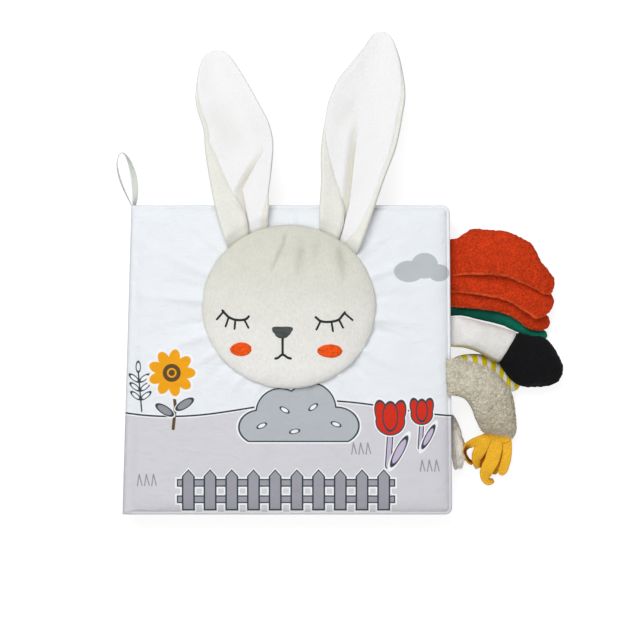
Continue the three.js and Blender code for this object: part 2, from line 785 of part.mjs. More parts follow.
const beigeShares = [
  [0, 0, 0, 0.7, 0.085],
  [0.07, 0, 0, 0.79, 0.26],
  [0.17, -0.02, 0, 0.86, 0.56],
  [0.31, -0.08, 0.02, 0.9, 0.83],
  [0.46, -0.19, 0.06, 0.96, 0.95],
  [0.59, -0.32, 0.14, 1, 1],
  [0.7, -0.46, 0.28, 1, 1],
  [0.78, -0.63, 0.46, 0.94, 0.97],
  [0.81, -0.81, 0.66, 0.86, 0.88],
  [0.81, -0.95, 0.84, 0.8, 0.66],
  [0.795, -1.04, 1, 0.72, 0.2],
];
const whiteShares = [
  [0, 0, 0, 0.5, 0.07],
  [0.04, 0, 0, 0.56, 0.21],
  [0.107, -0.003, 0.07, 0.61, 0.47],
  [0.24, -0.04, 0.25, 0.655, 0.68],
  [0.395, -0.1, 0.5, 0.68, 0.75],
  [0.51, -0.157, 0.71, 0.68, 0.78],
  [0.6, -0.207, 0.85, 0.85, 0.92],
  [0.694, -0.255, 1, 1, 1],
  [0.778, -0.304, 1, 0.99, 1],
  [0.863, -0.351, 1, 0.82, 0.9],
  [0.942, -0.391, 1, 0.53, 0.62],
  [0.985, -0.413, 1, 0.2, 0.25],
];
const blackRow = 5; // row at which the white tail's black end starts
const stripedShares = [
  [0, 0, 0, 0.8, 0.094],
  [0.08, 0.01, 0.03, 0.88, 0.47],
  [0.22, 0.02, 0.08, 0.97, 0.86],
  [0.43, 0.015, 0.22, 1, 0.98],
  [0.625, -0.075, 0.42, 1, 0.8],
  [0.785, -0.21, 0.65, 0.96, 0.56],
  [0.93, -0.35, 0.75, 0.8, 0.5],
  [1, -0.42, 0.75, 0.36, 0.3],
];
const creamShares = [
  [0, 0, 0, 0.28, 0.2],
  [0.035, -0.1, 0.4, 0.65, 0.54],
  [0.07, -0.26, 0.85, 0.9, 0.88],
  [0.085, -0.46, 1, 1, 1],
  [0.085, -0.68, 1, 1, 1],
  [0.065, -0.86, 0.9, 0.84, 0.82],
  [0.035, -0.99, 0.8, 0.45, 0.45],
];

const creamNoseShare = 0.37; // how far its first row reaches back to the edge, of its half width

// The cream tail hangs along the fore edge by the round end of its first row.
function creamTailPlaced() {
  const nose = creamTail.halfWidth * creamNoseShare;
  const restZ = tableGap + creamTail.halfHeight;
  const rootZ = coverThickness / 2;
  return { ...creamTail, x: foreX(creamTail.y) + seamGap + nose, rootZ, restZ, shares: creamShares };
}

// Red tail: three flat lobes over each other and a green one under them, all sewn into the second leaf's fore
// edge.
const redLobe1Shares = [
  [0, 0, 0, 0.8, 0.12],
  [0.06, 0, 0.18, 0.84, 0.3],
  [0.17, 0.034, 0.56, 0.9, 0.64],
  [0.35, 0.059, 0.94, 0.97, 0.96],
  [0.54, 0.037, 1, 0.99, 1],
  [0.685, -0.037, 0.94, 1, 1],
  [0.82, -0.14, 0.82, 0.88, 0.92],
  [0.92, -0.243, 0.75, 0.64, 0.72],
  [0.99, -0.316, 0.7, 0.3, 0.4],
];
const redLobe2Shares = [
  [0, 0, 0, 0.95, 0.18],
  [0.06, 0, 0.3, 0.97, 0.36],
  [0.2, -0.007, 0.7, 0.98, 0.76],
  [0.42, -0.037, 0.9, 1, 1],
  [0.63, -0.11, 1, 0.98, 1],
  [0.775, -0.206, 0.9, 0.93, 0.97],
  [0.893, -0.287, 0.6, 0.8, 0.88],
  [0.98, -0.324, 0.2, 0.55, 0.7],
  [1.04, -0.33, 0, 0.25, 0.41],
];
const redLobe3Shares = [
  [0, 0, 0, 0.95, 0.19],
  [0.06, 0, 0.22, 0.97, 0.4],
  [0.21, -0.015, 0.58, 1, 0.78],
  [0.45, -0.051, 0.82, 0.98, 1],
  [0.61, -0.11, 0.9, 0.96, 1],
  [0.76, -0.206, 0.95, 0.88, 0.94],
  [0.88, -0.287, 1, 0.7, 0.86],
  [0.96, -0.324, 1, 0.48, 0.69],
  [1, -0.34, 1, 0.22, 0.41],
];
const greenLobeShares = [
  [0, 0, 0, 0.95, 0.25],
  [0.06, 0, 0.3, 0.97, 0.45],
  [0.12, -0.005, 0.6, 0.98, 0.7],
  [0.21, -0.015, 0.75, 1, 0.9],
  [0.42, -0.059, 0.92, 0.99, 1],
  [0.6, -0.125, 0.97, 0.96, 1],
  [0.75, -0.2, 1, 0.85, 0.96],
  [0.88, -0.257, 1, 0.6, 0.85],
  [0.97, -0.29, 1, 0.3, 0.6],
];

// Order counts the lobes from the green one, which is 0, up to the uppermost, which is 3.
function lobe(dimensions, order, shares) {
  const pitch = tailSeam + clearance;
  const rootZ = leafLow(2) + leafThickness / 2 + (order - 3 / 2) * pitch;
  const step = Math.max(order - 1, 0) * lobeSpacing;
  const size = { ...dimensions, reach: lobeReach, restZ: rootZ + dimensions.liftHeight };
  return solidTail(sewnTail(size, rootZ, tailSeam, shares, step));
}

function tailPieces() {
  const half = clearance / 2;
  const beige = sewnTail(beigeTail, frontCoverLow + coverThickness / 2, thickTailSeam, beigeShares);
  const white = sewnTail(whiteTail, leafLow(1) + leafThickness / 2, thickTailSeam, whiteShares);
  const striped = sewnTail(stripedTail, leafLow(3) + leafThickness / 2, tailSeam, stripedShares);
  const cream = creamTailPlaced();
  const creamRings = tailRings(cream, 0, creamShares.length - 1, 0);
  return [
    mesh("beige_tail_plush", openTail(beige, beigeShares.length - 1), materials.tan),
    mesh("beige_tail_stuffing", tailStuffing(beige), materials.wadding),
    mesh("beige_tail_tassel", tassel(beige), materials.yellow),
    mesh("white_tail_plush", openTail(white, blackRow, -half), materials.white),
    mesh("white_tail_black_end", tailCap(white, blackRow, half), materials.black),
    mesh("white_tail_stuffing", tailStuffing(white), materials.wadding),
    mesh("striped_tail", solidTail(striped), materials.stripe),
    mesh("cream_tail", placed(cream, ringSolid(creamRings)), materials.cream),
    mesh("red_tail_lobe_1", lobe(redLobe1, 3, redLobe1Shares), materials.red),
    mesh("red_tail_lobe_2", lobe(redLobe2, 2, redLobe2Shares), materials.red),
    mesh("red_tail_lobe_3", lobe(redLobe3, 1, redLobe3Shares), materials.red),
    mesh("green_tail_lobe", lobe(greenLobe, 0, greenLobeShares), materials.green),
  ];
}

// Tassel: felt cut into four strips that fan out of the beige tail's end. Each row of a strip is its place
// from the tassel's root and its height over the rest surface, as shares of the tassel's length, and its half
// width.
const tasselStripShares = [
  [
    [-0.24, -0.06, 0.3, 0.8],
    [-0.42, -0.19, 0.27, 0.84],
    [-0.52, -0.37, 0.2, 0.84],
    [-0.46, -0.6, 0.1, 0.84],
  ],
  [
    [-0.13, -0.08, 0.3, 0.9],
    [-0.24, -0.28, 0.24, 0.93],
    [-0.36, -0.52, 0.16, 0.93],
    [-0.41, -0.74, 0.08, 0.9],
  ],
  [
    [0.01, -0.1, 0.3, 0.9],
    [-0.05, -0.4, 0.25, 1],
    [-0.18, -0.76, 0.14, 1],
    [-0.15, -1.04, 0.07, 0.9],
  ],
  [
    [0.2, -0.1, 0.3, 0.9],
    [0.23, -0.34, 0.22, 1],
    [0.19, -0.6, 0.14, 1],
    [0.13, -0.86, 0.07, 0.9],
  ],
];
const bandLengthShare = 0.2; // of the tassel's length
const bandWidthShare = 0.85; // of the width of the tail's end

function stripSolid(shares) {
  const centres = shares.map(([x, y, z]) => new THREE.Vector3(x, y, z).multiplyScalar(tasselLength));
  const grids = centres.map((centre, i) => {
    const before = centres[Math.max(i - 1, 0)];
    const after = centres[Math.min(i + 1, shares.length - 1)];
    const along = after.clone().sub(before).setZ(0).normalize();
    const side = new THREE.Vector3(-along.y, along.x, 0).multiplyScalar(tasselHalfWidth * shares[i][3]);
    const low = [centre.clone().sub(side), centre.clone(), centre.clone().add(side)];
    return { low, high: low.map((p) => p.clone().add(new THREE.Vector3(0, 0, tasselThickness))) };
  });
  return sheetSolid(grids.map((grid) => grid.low), grids.map((grid) => grid.high));
}

function tassel(tail) {
  const [before, end] = tail.shares.slice(-2);
  const along = new THREE.Vector2(end[0] - before[0], end[1] - before[1]).normalize();
  const bandLength = tasselLength * bandLengthShare;
  const bandWidth = 2 * tail.halfWidth * end[3] * bandWidthShare;
  const band = new THREE.CapsuleGeometry(tasselThickness / 2, bandWidth - tasselThickness, 4, 8);
  band.rotateZ(Math.PI / 2);
  const plate = new THREE.BoxGeometry(bandWidth - tasselThickness, bandLength, tasselThickness);
  plate.translate(0, -bandLength / 2, 0);
  const root = join([band, plate]);
  const place = new THREE.Vector2(end[0], end[1]).multiplyScalar(tail.reach);
  place.addScaledVector(along, clearance + tasselThickness / 2);
  root.rotateZ(Math.atan2(along.x, -along.y));
  root.translate(place.x, place.y, tail.restZ);
  const strips = tasselStripShares.map((shares) => stripSolid(shares).translate(place.x, place.y, 0));
  return placed(tail, join([root, ...strips]));
}

// Assembly

function book() {
  const group = new THREE.Group();
  const page = materials.page;
  const print = materials.print;
  const under = { lower: "outer_fabric", lowerMaterial: print };
  const lining = { upper: "inner_fabric", upperMaterial: page };
  group.add(board("back_cover", 0, coverThickness, 0, under, lining));
  for (let number = leafCount; number > 0; number--) {
    const back = { lower: "back_fabric", lowerMaterial: page };
    const front = { upper: "front_fabric", upperMaterial: page };
    group.add(board(`leaf_${number}`, leafLow(number), leafThickness, 0, back, front));
  }
  const inside = { lower: "inner_fabric", lowerMaterial: page };
  const cover = { upper: "outer_fabric", upperMaterial: print };
  group.add(board("front_cover", frontCoverLow, coverThickness, coverCrown, inside, cover));
  group.add(spine(), ribbonLoop(), face(), ear("left", leftEar), ear("right", rightEar), ...tailPieces());
  return group;
}

export default book();
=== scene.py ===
"""Looks of a crinkle cloth book with a padded rabbit face, fold-over ears and plush tails.

Lengths in this script are millimetres in the part's frame, and every mesh is made in metres by piece().
"""

import functools
import json
import math

import bpy
import numpy as np
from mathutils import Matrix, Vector
from mathutils.bvhtree import BVHTree


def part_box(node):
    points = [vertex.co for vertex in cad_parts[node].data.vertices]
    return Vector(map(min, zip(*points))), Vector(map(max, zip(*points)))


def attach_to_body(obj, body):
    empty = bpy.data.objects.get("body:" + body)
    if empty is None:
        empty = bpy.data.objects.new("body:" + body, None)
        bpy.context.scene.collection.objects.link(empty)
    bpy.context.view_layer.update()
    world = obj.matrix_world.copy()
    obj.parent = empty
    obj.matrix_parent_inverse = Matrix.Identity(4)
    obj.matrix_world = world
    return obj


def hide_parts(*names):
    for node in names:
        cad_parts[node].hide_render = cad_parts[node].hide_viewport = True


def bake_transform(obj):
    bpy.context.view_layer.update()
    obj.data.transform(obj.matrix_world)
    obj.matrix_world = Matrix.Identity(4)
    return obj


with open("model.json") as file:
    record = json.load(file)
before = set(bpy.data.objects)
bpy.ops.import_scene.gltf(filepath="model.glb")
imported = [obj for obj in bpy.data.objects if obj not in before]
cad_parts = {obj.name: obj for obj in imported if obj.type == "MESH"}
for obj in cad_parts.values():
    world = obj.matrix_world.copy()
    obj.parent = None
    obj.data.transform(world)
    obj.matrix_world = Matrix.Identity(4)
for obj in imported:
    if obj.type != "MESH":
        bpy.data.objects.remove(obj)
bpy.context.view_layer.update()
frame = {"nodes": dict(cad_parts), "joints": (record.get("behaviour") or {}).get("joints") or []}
MM = 0.001


# Camera, straight over the book, with the photograph's frame

PHOTO_SIDE = 640  # pixels
PIXEL = 0.70  # millimetres of the cover's plane that one pixel of the photograph covers
PHOTO_ORIGIN = (288.9, 360)  # pixel that shows the part's origin
COVER_PLANE = 33  # height of the plane that PIXEL is measured in
CAMERA_DISTANCE = 1600
SENSOR = 36


def in_cover_plane(column, row):
    """Where a pixel of the photograph lies in the cover's plane."""
    return np.stack([(column - PHOTO_ORIGIN[0]) * PIXEL, (PHOTO_ORIGIN[1] - row) * PIXEL], -1)


PHOTO_CENTRE = in_cover_plane(PHOTO_SIDE / 2, PHOTO_SIDE / 2)


def from_photo(column, row, height):
    """Where a pixel of the photograph lies at a height over the rest surface."""
    flat = in_cover_plane(np.asarray(column, float), np.asarray(row, float))
    spread = (CAMERA_DISTANCE + COVER_PLANE - np.asarray(height, float)) / CAMERA_DISTANCE
    return PHOTO_CENTRE + (flat - PHOTO_CENTRE) * spread[..., None]


def linked(name, data):
    made = bpy.data.objects.new(name, data)
    bpy.context.scene.collection.objects.link(made)
    return made


def make_camera():
    data = bpy.data.cameras.new("camera")
    data.sensor_width = SENSOR
    data.lens = SENSOR * CAMERA_DISTANCE / (PHOTO_SIDE * PIXEL)
    camera = linked("camera", data)
    camera.location = Vector((*PHOTO_CENTRE, COVER_PLANE + CAMERA_DISTANCE)) * MM
    bpy.context.scene.camera = camera


make_camera()


# Sizes that come from the frame

def corners(node):
    low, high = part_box(node)
    return np.array(low) / MM, np.array(high) / MM


def joint(name):
    return next(j for j in frame["joints"] if j["name"] == name)


COVER_HIGH = corners("front_cover_outer_fabric")[1]
HALF_HEIGHT = COVER_HIGH[1]
HINGE_AXIS = np.array(joint("front_cover_opening")["axis"])
HINGE_PLACE = np.array(joint("front_cover_opening")["pos_m"]) / MM
SPINE_SLOPE = HINGE_AXIS[0] / HINGE_AXIS[1]  # x over y along the spine
SPINE_FORWARD = np.array([-HINGE_AXIS[1], HINGE_AXIS[0], 0])  # from the spine into the book, square to it
HINGE_INSET = 3.2  # of the hinge axes from the spine's outer face
FORE_LEAN = 0.462  # degrees by which the fore edge leans to the left
FORE_SLOPE = -math.tan(math.radians(FORE_LEAN))
FORE_MIDDLE = COVER_HIGH[0] + FORE_SLOPE * HALF_HEIGHT
CORNER = 5  # radius of the corners at the fore edge
FACE_LOW, FACE_HIGH = corners("face_plush")
FACE_CENTRE = (FACE_LOW + FACE_HIGH) / 2
FACE_HALF = (FACE_HIGH - FACE_LOW) / 2
FACE_SIDE = 2  # height of the face's seam over the cover


def spine_x(y):
    """The spine's outer face."""
    return HINGE_PLACE[0] - HINGE_INSET + SPINE_SLOPE * (y - HINGE_PLACE[1])


def fore_x(y):
    return FORE_MIDDLE + FORE_SLOPE * y


# Noise, the same at every run

CELL_FACTORS = np.array([374761393, 668265263, 2147483629])
SEED_FACTOR = 1442695041
MIXING = ((13, 1274126177), (16, 2246822519))  # shifts and factors
LAST_SHIFT = 15
WORD = 0xFFFFFFFF


def lattice(cells, seed):
    """A random value from 0 to 1 for each cell of a lattice."""
    hashed = ((cells.astype(np.int64) * CELL_FACTORS).sum(-1) + seed * SEED_FACTOR) & WORD
    for shift, factor in MIXING:
        hashed = ((hashed ^ (hashed >> shift)) * factor) & WORD
    return (hashed ^ (hashed >> LAST_SHIFT)) / WORD


def noise(points, size, seed=0):
    """Smooth noise from -1 to 1, with features of a size in millimetres, or of three sizes."""
    scaled = np.asarray(points, float) / size
    cells = np.floor(scaled)
    share = smoothstep(0, 1, scaled - cells)
    total = 0
    for corner in np.ndindex(2, 2, 2):
        weight = np.prod(np.where(corner, share, 1 - share), axis=-1)
        total = total + weight * lattice(cells + np.array(corner), seed)
    return 2 * total - 1


def layered(points, size, seed=0, layers=3):
    size = np.asarray(size, float)
    return sum(noise(points, size / 2**k, seed + k) / 2**k for k in range(layers))


def waves(points, wave, seed, layers=3):
    """Heights of soft waves, given by their rise and their length."""
    rise, length = wave
    return rise * layered(points, length, seed, layers)


def smoothstep(low, high, values):
    share = np.clip((values - low) / (high - low), 0, 1)
    return share * share * (3 - 2 * share)


# Curves and directions

def unit(vectors):
    return vectors / np.linalg.norm(vectors, axis=-1, keepdims=True)


def in_plane(x, y):
    """Points in the plane of the rest surface."""
    return np.stack([x, y, np.zeros_like(x)], -1)


def circle_angles(steps):
    return np.linspace(0, math.tau, steps, endpoint=False)


def oval(steps, power):
    """Places round a section between a circle and a box, from -1 to 1 across and over it."""
    angles = circle_angles(steps)
    return [np.sign(wave) * np.abs(wave) ** power for wave in (np.cos(angles), np.sin(angles))]


def closing_in(start, turn, count, last_count, last=1.0, power=2.0):
    """Shares from a start to 1: even steps up to a turn, and from there closer and closer together."""
    ends = np.linspace(0, last, last_count)[1:]
    return np.concatenate([np.linspace(start, turn, count), 1 - (1 - turn) * (1 - ends) ** power])


def from_line(points, start, end):
    """How far points lie from a straight stretch, and the share of it that they have gone."""
    run = np.subtract(end, start)
    off = points - np.asarray(start, float)
    share = np.clip(off @ run / (run @ run), 0, 1)
    return np.linalg.norm(off - share[..., None] * run, axis=-1), share


def curve_through(points, steps):
    """Points of a smooth curve through given points, steps to each stretch."""
    points = np.asarray(points, float)
    padded = np.vstack([2 * points[0] - points[1], points, 2 * points[-1] - points[-2]])
    made = []
    for before, start, end, after in zip(padded, padded[1:], padded[2:], padded[3:]):
        for t in np.arange(steps) / steps:
            square = t * t * (before - 5 / 2 * start + 2 * end - after / 2)
            cube = t**3 * (3 / 2 * (start - end) + (after - before) / 2)
            made.append(start + t / 2 * (end - before) + square + cube)
    made.append(points[-1])
    return np.array(made)


def reach_along(curve):
    """The length of a curve up to each of its points."""
    return np.concatenate([[0], np.cumsum(np.linalg.norm(np.diff(curve, axis=0), axis=1))])


def turned(vector, axis, degrees):
    """A vector square to a unit axis, turned about it."""
    angle = math.radians(degrees)
    return vector * math.cos(angle) + np.cross(axis, vector) * math.sin(angle)


# Meshes

def piece(name, points, faces, material, slot):
    """A mesh of points in millimetres. Its place attribute keeps where they lie at rest, for materials."""
    mesh = bpy.data.meshes.new(name)
    mesh.from_pydata((np.asarray(points) * MM).tolist(), [], outward(np.asarray(points), faces))
    mesh.materials.append(material)
    mesh.shade_smooth()
    made = linked(name, mesh)
    places = np.empty(len(mesh.vertices) * 3, np.float32)
    mesh.vertices.foreach_get("co", places)
    mesh.attributes.new("place", "FLOAT_VECTOR", "POINT").data.foreach_set("vector", places / MM)
    return made


def outward(points, faces):
    """The faces of a closed mesh, turned over if they face inwards."""
    fan = np.array([(face[0], b, c) for face in faces for b, c in zip(face[1:], face[2:])])
    volume = np.einsum("ij,ij->", points[fan[:, 0]], np.cross(points[fan[:, 1]], points[fan[:, 2]]))
    return [tuple(face) if volume > 0 else tuple(face)[::-1] for face in faces]


def keep_value(made, name, values):
    """Keeps a number for each point, such as how far along a tail it lies, for the materials."""
    attribute = made.data.attributes.new(name, "FLOAT", "POINT")
    attribute.data.foreach_set("value", np.asarray(values, np.float32))


def quads(rows, columns, first=0, flip=False, ring=False):
    """Faces of a grid of points. In a ring each row closes on itself."""
    made = []
    for r in range(rows - 1):
        for c in range(columns if ring else columns - 1):
            here = first + r * columns + c
            side = first + r * columns + (c + 1) % columns
            face = (here, side, side + columns, here + columns)
            made.append(face[::-1] if flip else face)
    return made


def border(rows, columns):
    top = [(0, c) for c in range(columns - 1)]
    right = [(r, columns - 1) for r in range(rows - 1)]
    bottom = [(rows - 1, c) for c in range(columns - 1, 0, -1)]
    left = [(r, 0) for r in range(rows - 1, 0, -1)]
    return [r * columns + c for r, c in top + right + bottom + left]


def cloth(grid, thickness):
    """A closed sheet whose outer side is a grid. Its other side lies a thickness under it."""
    rows, columns = grid.shape[:2]
    normals = np.cross(np.gradient(grid, axis=1), np.gradient(grid, axis=0))
    normals = normals / np.maximum(np.linalg.norm(normals, axis=-1, keepdims=True), 1e-9)
    outer = grid.reshape(-1, 3)
    inner = (grid - normals * thickness).reshape(-1, 3)
    count = len(outer)
    faces = quads(rows, columns) + quads(rows, columns, count, flip=True)
    edge = border(rows, columns)
    for a, b in zip(edge, edge[1:] + edge[:1]):
        faces.append((b, a, a + count, b + count))
    return np.vstack([outer, inner]), faces


def pillow(top, bottom):
    """Two grids with one border, closed along it."""
    rows, columns = top.shape[:2]
    edge = set(border(rows, columns))
    points = list(top.reshape(-1, 3))
    index = {}
    for i, point in enumerate(bottom.reshape(-1, 3)):
        index[i] = i if i in edge else len(points)
        if i not in edge:
            points.append(point)
    faces = quads(rows, columns)
    faces += [tuple(index[i] for i in face) for face in quads(rows, columns, flip=True)]
    return np.array(points), faces


def loft(rings):
    """A closed skin over rings of points, each end closed around its middle."""
    count, steps = rings.shape[:2]
    points = np.vstack([rings.reshape(-1, 3), rings[0].mean(0), rings[-1].mean(0)])
    faces = quads(count, steps, ring=True)
    for i in range(steps):
        side = (i + 1) % steps
        faces.append((side, i, count * steps))
        faces.append(((count - 1) * steps + i, (count - 1) * steps + side, count * steps + 1))
    return points, faces


def joined(parts):
    """One mesh of several that don't touch."""
    points, faces, count = [], [], 0
    for part_points, part_faces in parts:
        points.append(part_points)
        faces += [tuple(i + count for i in face) for face in part_faces]
        count += len(part_points)
    return np.vstack(points), faces


def mesh_arrays(made):
    """A mesh's points and their normals."""
    mesh = made.data
    points, normals = np.empty((2, len(mesh.vertices) * 3))
    mesh.vertices.foreach_get("co", points)
    mesh.vertex_normals.foreach_get("vector", normals)
    return points.reshape(-1, 3) / MM, normals.reshape(-1, 3)


# Materials

def colour_of(red, green, blue):
    """A colour of the photograph, given as it shows on a screen, in the linear values that shaders take."""
    def linear(value):
        share = value / 255
        return share / 12.92 if share <= 0.04045 else ((share + 0.055) / 1.055) ** 2.4

    return (linear(red), linear(green), linear(blue), 1)


class Shader:
    """A fabric material. Lengths in it are millimetres of the piece at rest."""

    def __init__(self, name, roughness=0.9, sheen=0.0, sheen_tint=(1, 1, 1, 1)):
        self.material = bpy.data.materials.new(name)
        self.material.use_nodes = True
        self.tree = self.material.node_tree
        self.surface = self.tree.nodes["Principled BSDF"]
        settings = {"Roughness": roughness, "Specular IOR Level": 0.25, "Sheen Weight": sheen,
                    "Sheen Roughness": 0.5, "Sheen Tint": sheen_tint}
        for socket, value in settings.items():
            self.surface.inputs[socket].default_value = value
        self.place = self.node("ShaderNodeAttribute", attribute_name="place").outputs["Vector"]

    def node(self, kind, **settings):
        made = self.tree.nodes.new(kind)
        for name, value in settings.items():
            setattr(made, name, value)
        return made

    def put(self, socket, value):
        if isinstance(value, bpy.types.NodeSocket):
            self.tree.links.new(value, socket)
        else:
            socket.default_value = value

    def math(self, operation, *values, clamp=False):
        made = self.node("ShaderNodeMath", operation=operation, use_clamp=clamp)
        for socket, value in zip(made.inputs, values):
            self.put(socket, value)
        return made.outputs[0]

    def vector(self, operation, *values):
        made = self.node("ShaderNodeVectorMath", operation=operation)
        for socket, value in zip(made.inputs, values):
            self.put(socket, value)
        return made.outputs["Value" if operation in ("LENGTH", "DOT_PRODUCT") else "Vector"]

    def axis(self, name):
        split = self.node("ShaderNodeSeparateXYZ")
        self.put(split.inputs[0], self.place)
        return split.outputs[name]

    def noise(self, size, detail=2.0, stretch=(1, 1, 1), roughness=0.5, distortion=0.0):
        made = self.node("ShaderNodeTexNoise")
        settings = {"Scale": 1 / size, "Detail": detail, "Roughness": roughness, "Distortion": distortion,
                    "Vector": self.vector("MULTIPLY", self.place, stretch)}
        for socket, value in settings.items():
            self.put(made.inputs[socket], value)
        return made.outputs["Fac"]

    def value(self, name):
        """A number that keep_value() stored."""
        return self.node("ShaderNodeAttribute", attribute_name=name).outputs["Fac"]

    def between(self, value, start, end):
        """The share from 0 to 1 that a value has gone from start to end."""
        return self.math("MULTIPLY", self.math("SUBTRACT", value, start), 1 / (end - start), clamp=True)

    def mixed(self, share, a, b, blend="MIX"):
        made = self.node("ShaderNodeMix", data_type="RGBA", blend_type=blend)
        self.put(made.inputs["Factor"], share)
        self.put(made.inputs[6], a)
        self.put(made.inputs[7], b)
        return made.outputs[2]

    def shaded(self, colour, share, amount):
        """The colour, darker or lighter by up to an amount where a share from 0 to 1 is low or high."""
        factor = self.math("MULTIPLY_ADD", share, 2 * amount, 1 - amount)
        grey = self.node("ShaderNodeCombineColor")
        for socket in grey.inputs:
            self.put(socket, factor)
        return self.mixed(1.0, colour, grey.outputs[0], "MULTIPLY")

    def bump(self, height, depth):
        """Bumps of a depth in millimetres. A second call adds to the first."""
        made = self.node("ShaderNodeBump")
        made.inputs["Strength"].default_value = 1.0
        made.inputs["Distance"].default_value = depth * MM
        self.put(made.inputs["Height"], height)
        if self.surface.inputs["Normal"].links:
            self.put(made.inputs["Normal"], self.surface.inputs["Normal"].links[0].from_socket)
        self.put(self.surface.inputs["Normal"], made.outputs[0])

    def weave(self, pitch):
        """The height of a plain weave."""
        turns = [self.math("MULTIPLY", self.axis(name), math.tau / pitch) for name in ("X", "Y")]
        return self.math("MULTIPLY", *[self.math("SINE", turn) for turn in turns])

    def colour(self, value):
        self.put(self.surface.inputs["Base Color"], value)
        return self.material


def plush(name, colour, shade=0.15, size=1.1, depth=0.5, sheen=0.1, curl=0.0, cloudy=0.6, **changes):
    """Short pile: bumps, and blotches where it lies another way. A change names a value that the mesh keeps,
    and gives the colour that the pile goes over to, from one number of that value to another. Some materials
    use a change for painted highlight and painted shade."""
    made = Shader(name, roughness=0.95, sheen=sheen, sheen_tint=colour)
    base = colour
    for value, (other, start, end) in changes.items():
        base = made.mixed(made.between(made.value(value), start, end), base, other)
    fine = made.noise(size, detail=3.0, roughness=0.65, distortion=curl)
    blotch = made.noise(size * 5, detail=2.0)
    made.bump(fine, depth)
    return made.colour(made.shaded(made.shaded(base, fine, shade), blotch, shade * cloudy))


# Painted shadow where the ears go in under the face's edge: its colour, the shares over which it falls, and
# its strength
EAR_ROOT_SHADOW_COLOUR = colour_of(150, 145, 128)
EAR_ROOT_SHADOW_SHARES = (1.05, 0.985)  # of the face's outline, between which painted shadow darkens the ears under the face's edge
EAR_ROOT_SHADOW_STRENGTH = 0.75


def ear_plush(name, colour, shade, inside):
    """Short pile with painted shadow where the ear goes in under the face's edge, and painted shade inside
    its creases.
    """
    made = Shader(name, roughness=0.95, sheen=0.08, sheen_tint=colour)
    off = made.vector("SUBTRACT", made.place, tuple(FACE_CENTRE))
    off = made.vector("MULTIPLY", off, (1 / FACE_HALF[0], 1 / FACE_HALF[1], 0))
    root = made.between(made.vector("LENGTH", off), *EAR_ROOT_SHADOW_SHARES)
    # painted shade inside the creases
    base = made.mixed(made.value("inside"), colour, inside)
    # painted shadow under the face's edge
    base = made.mixed(made.math("MULTIPLY", root, EAR_ROOT_SHADOW_STRENGTH), base, EAR_ROOT_SHADOW_COLOUR)
    fine = made.noise(1.3, detail=3.0, roughness=0.65)
    made.bump(fine, 0.35)
    return made.colour(made.shaded(made.shaded(base, fine, shade), made.noise(16), shade * 0.4))


def woven(name, colour, pitch=0.55, depth=0.05):
    made = Shader(name, roughness=0.82, sheen=0.05)
    made.bump(made.weave(pitch), depth)
    return made.colour(made.shaded(colour, made.noise(26, detail=3.0), 0.02))


def thread(name, colour, stretch, shade):
    """Satin stitches: streaks that run side by side."""
    made = Shader(name, roughness=0.75)
    streaks = made.noise(1.1, detail=2.0, stretch=stretch, roughness=0.6)
    made.bump(streaks, 0.25)
    return made.colour(made.shaded(colour, streaks, shade))


def face_material():
    """Fine napped cloth with painted shade: darker over the crown and in its creases, and lighter low down.
    """
    made = Shader("face_plush", roughness=0.95, sheen=0.05)
    # painted light and shade: darker over the crown and lighter towards the bottom
    high = made.between(made.axis("Y"), -5, 80)
    colour = made.mixed(high, colour_of(238, 237, 233), colour_of(210, 210, 198))
    # painted shade in the creases
    colour = made.mixed(made.math("MULTIPLY", made.value("inside"), 0.9), colour, colour_of(176, 176, 160))
    nap = made.noise(1.5, detail=3.0, stretch=(1, 0.5, 1), roughness=0.7)
    made.bump(nap, 0.45)
    made.bump(made.weave(1.6), 0.06)
    return made.colour(made.shaded(made.shaded(colour, nap, 0.16), made.noise(14), 0.05))


STRIPE_PITCH = 6.8
STRIPE_SHIFT = 4.0
STRIPE_LEAN = 2.2  # by which a stripe's lower end lies farther along the tail
STRIPE_HALF_SHARE = 0.3  # of the pitch that half a yellow stripe takes
STRIPE_SHARPNESS = 30.0


def stripe_material():
    """Yellow and white stripes across the tail, by its run."""
    made = Shader("striped_cloth", roughness=0.8, sheen=0.04)
    lean = made.math("MULTIPLY", made.value("across"), -STRIPE_LEAN)
    run = made.math("ADD", made.math("ADD", made.value("run"), STRIPE_SHIFT), lean)
    stripe = made.math("FRACT", made.math("MULTIPLY", run, 1 / STRIPE_PITCH))
    off = made.math("ABSOLUTE", made.math("SUBTRACT", stripe, 0.5))
    band = made.math("SUBTRACT", STRIPE_HALF_SHARE, off)
    band = made.math("MULTIPLY", band, STRIPE_SHARPNESS, clamp=True)
    colour = made.mixed(band, colour_of(252, 252, 254), colour_of(242, 216, 2))
    made.bump(made.weave(0.6), 0.06)
    return made.colour(made.shaded(colour, made.noise(4), 0.06))


# The cover's print: a plain landscape of the maker's own, with a fence where a title would stand

SKY = colour_of(237, 241, 245)
GROUND = colour_of(214, 213, 219)
INK = colour_of(52, 66, 78)
HALO = colour_of(246, 247, 248)
CLOUD_GREY = colour_of(190, 195, 200)
BUSH_GREY = colour_of(182, 188, 193)
SUN_YELLOW = colour_of(243, 166, 14)
STEM_BROWN = colour_of(96, 74, 44)
RED = colour_of(212, 44, 22)
LILAC = colour_of(200, 186, 212)
FENCE_GREY = colour_of(160, 159, 168)
SOFT_INK = colour_of(150, 150, 158)
PRINT_BORDER = 0.2  # over which a colour of the print goes over to the next


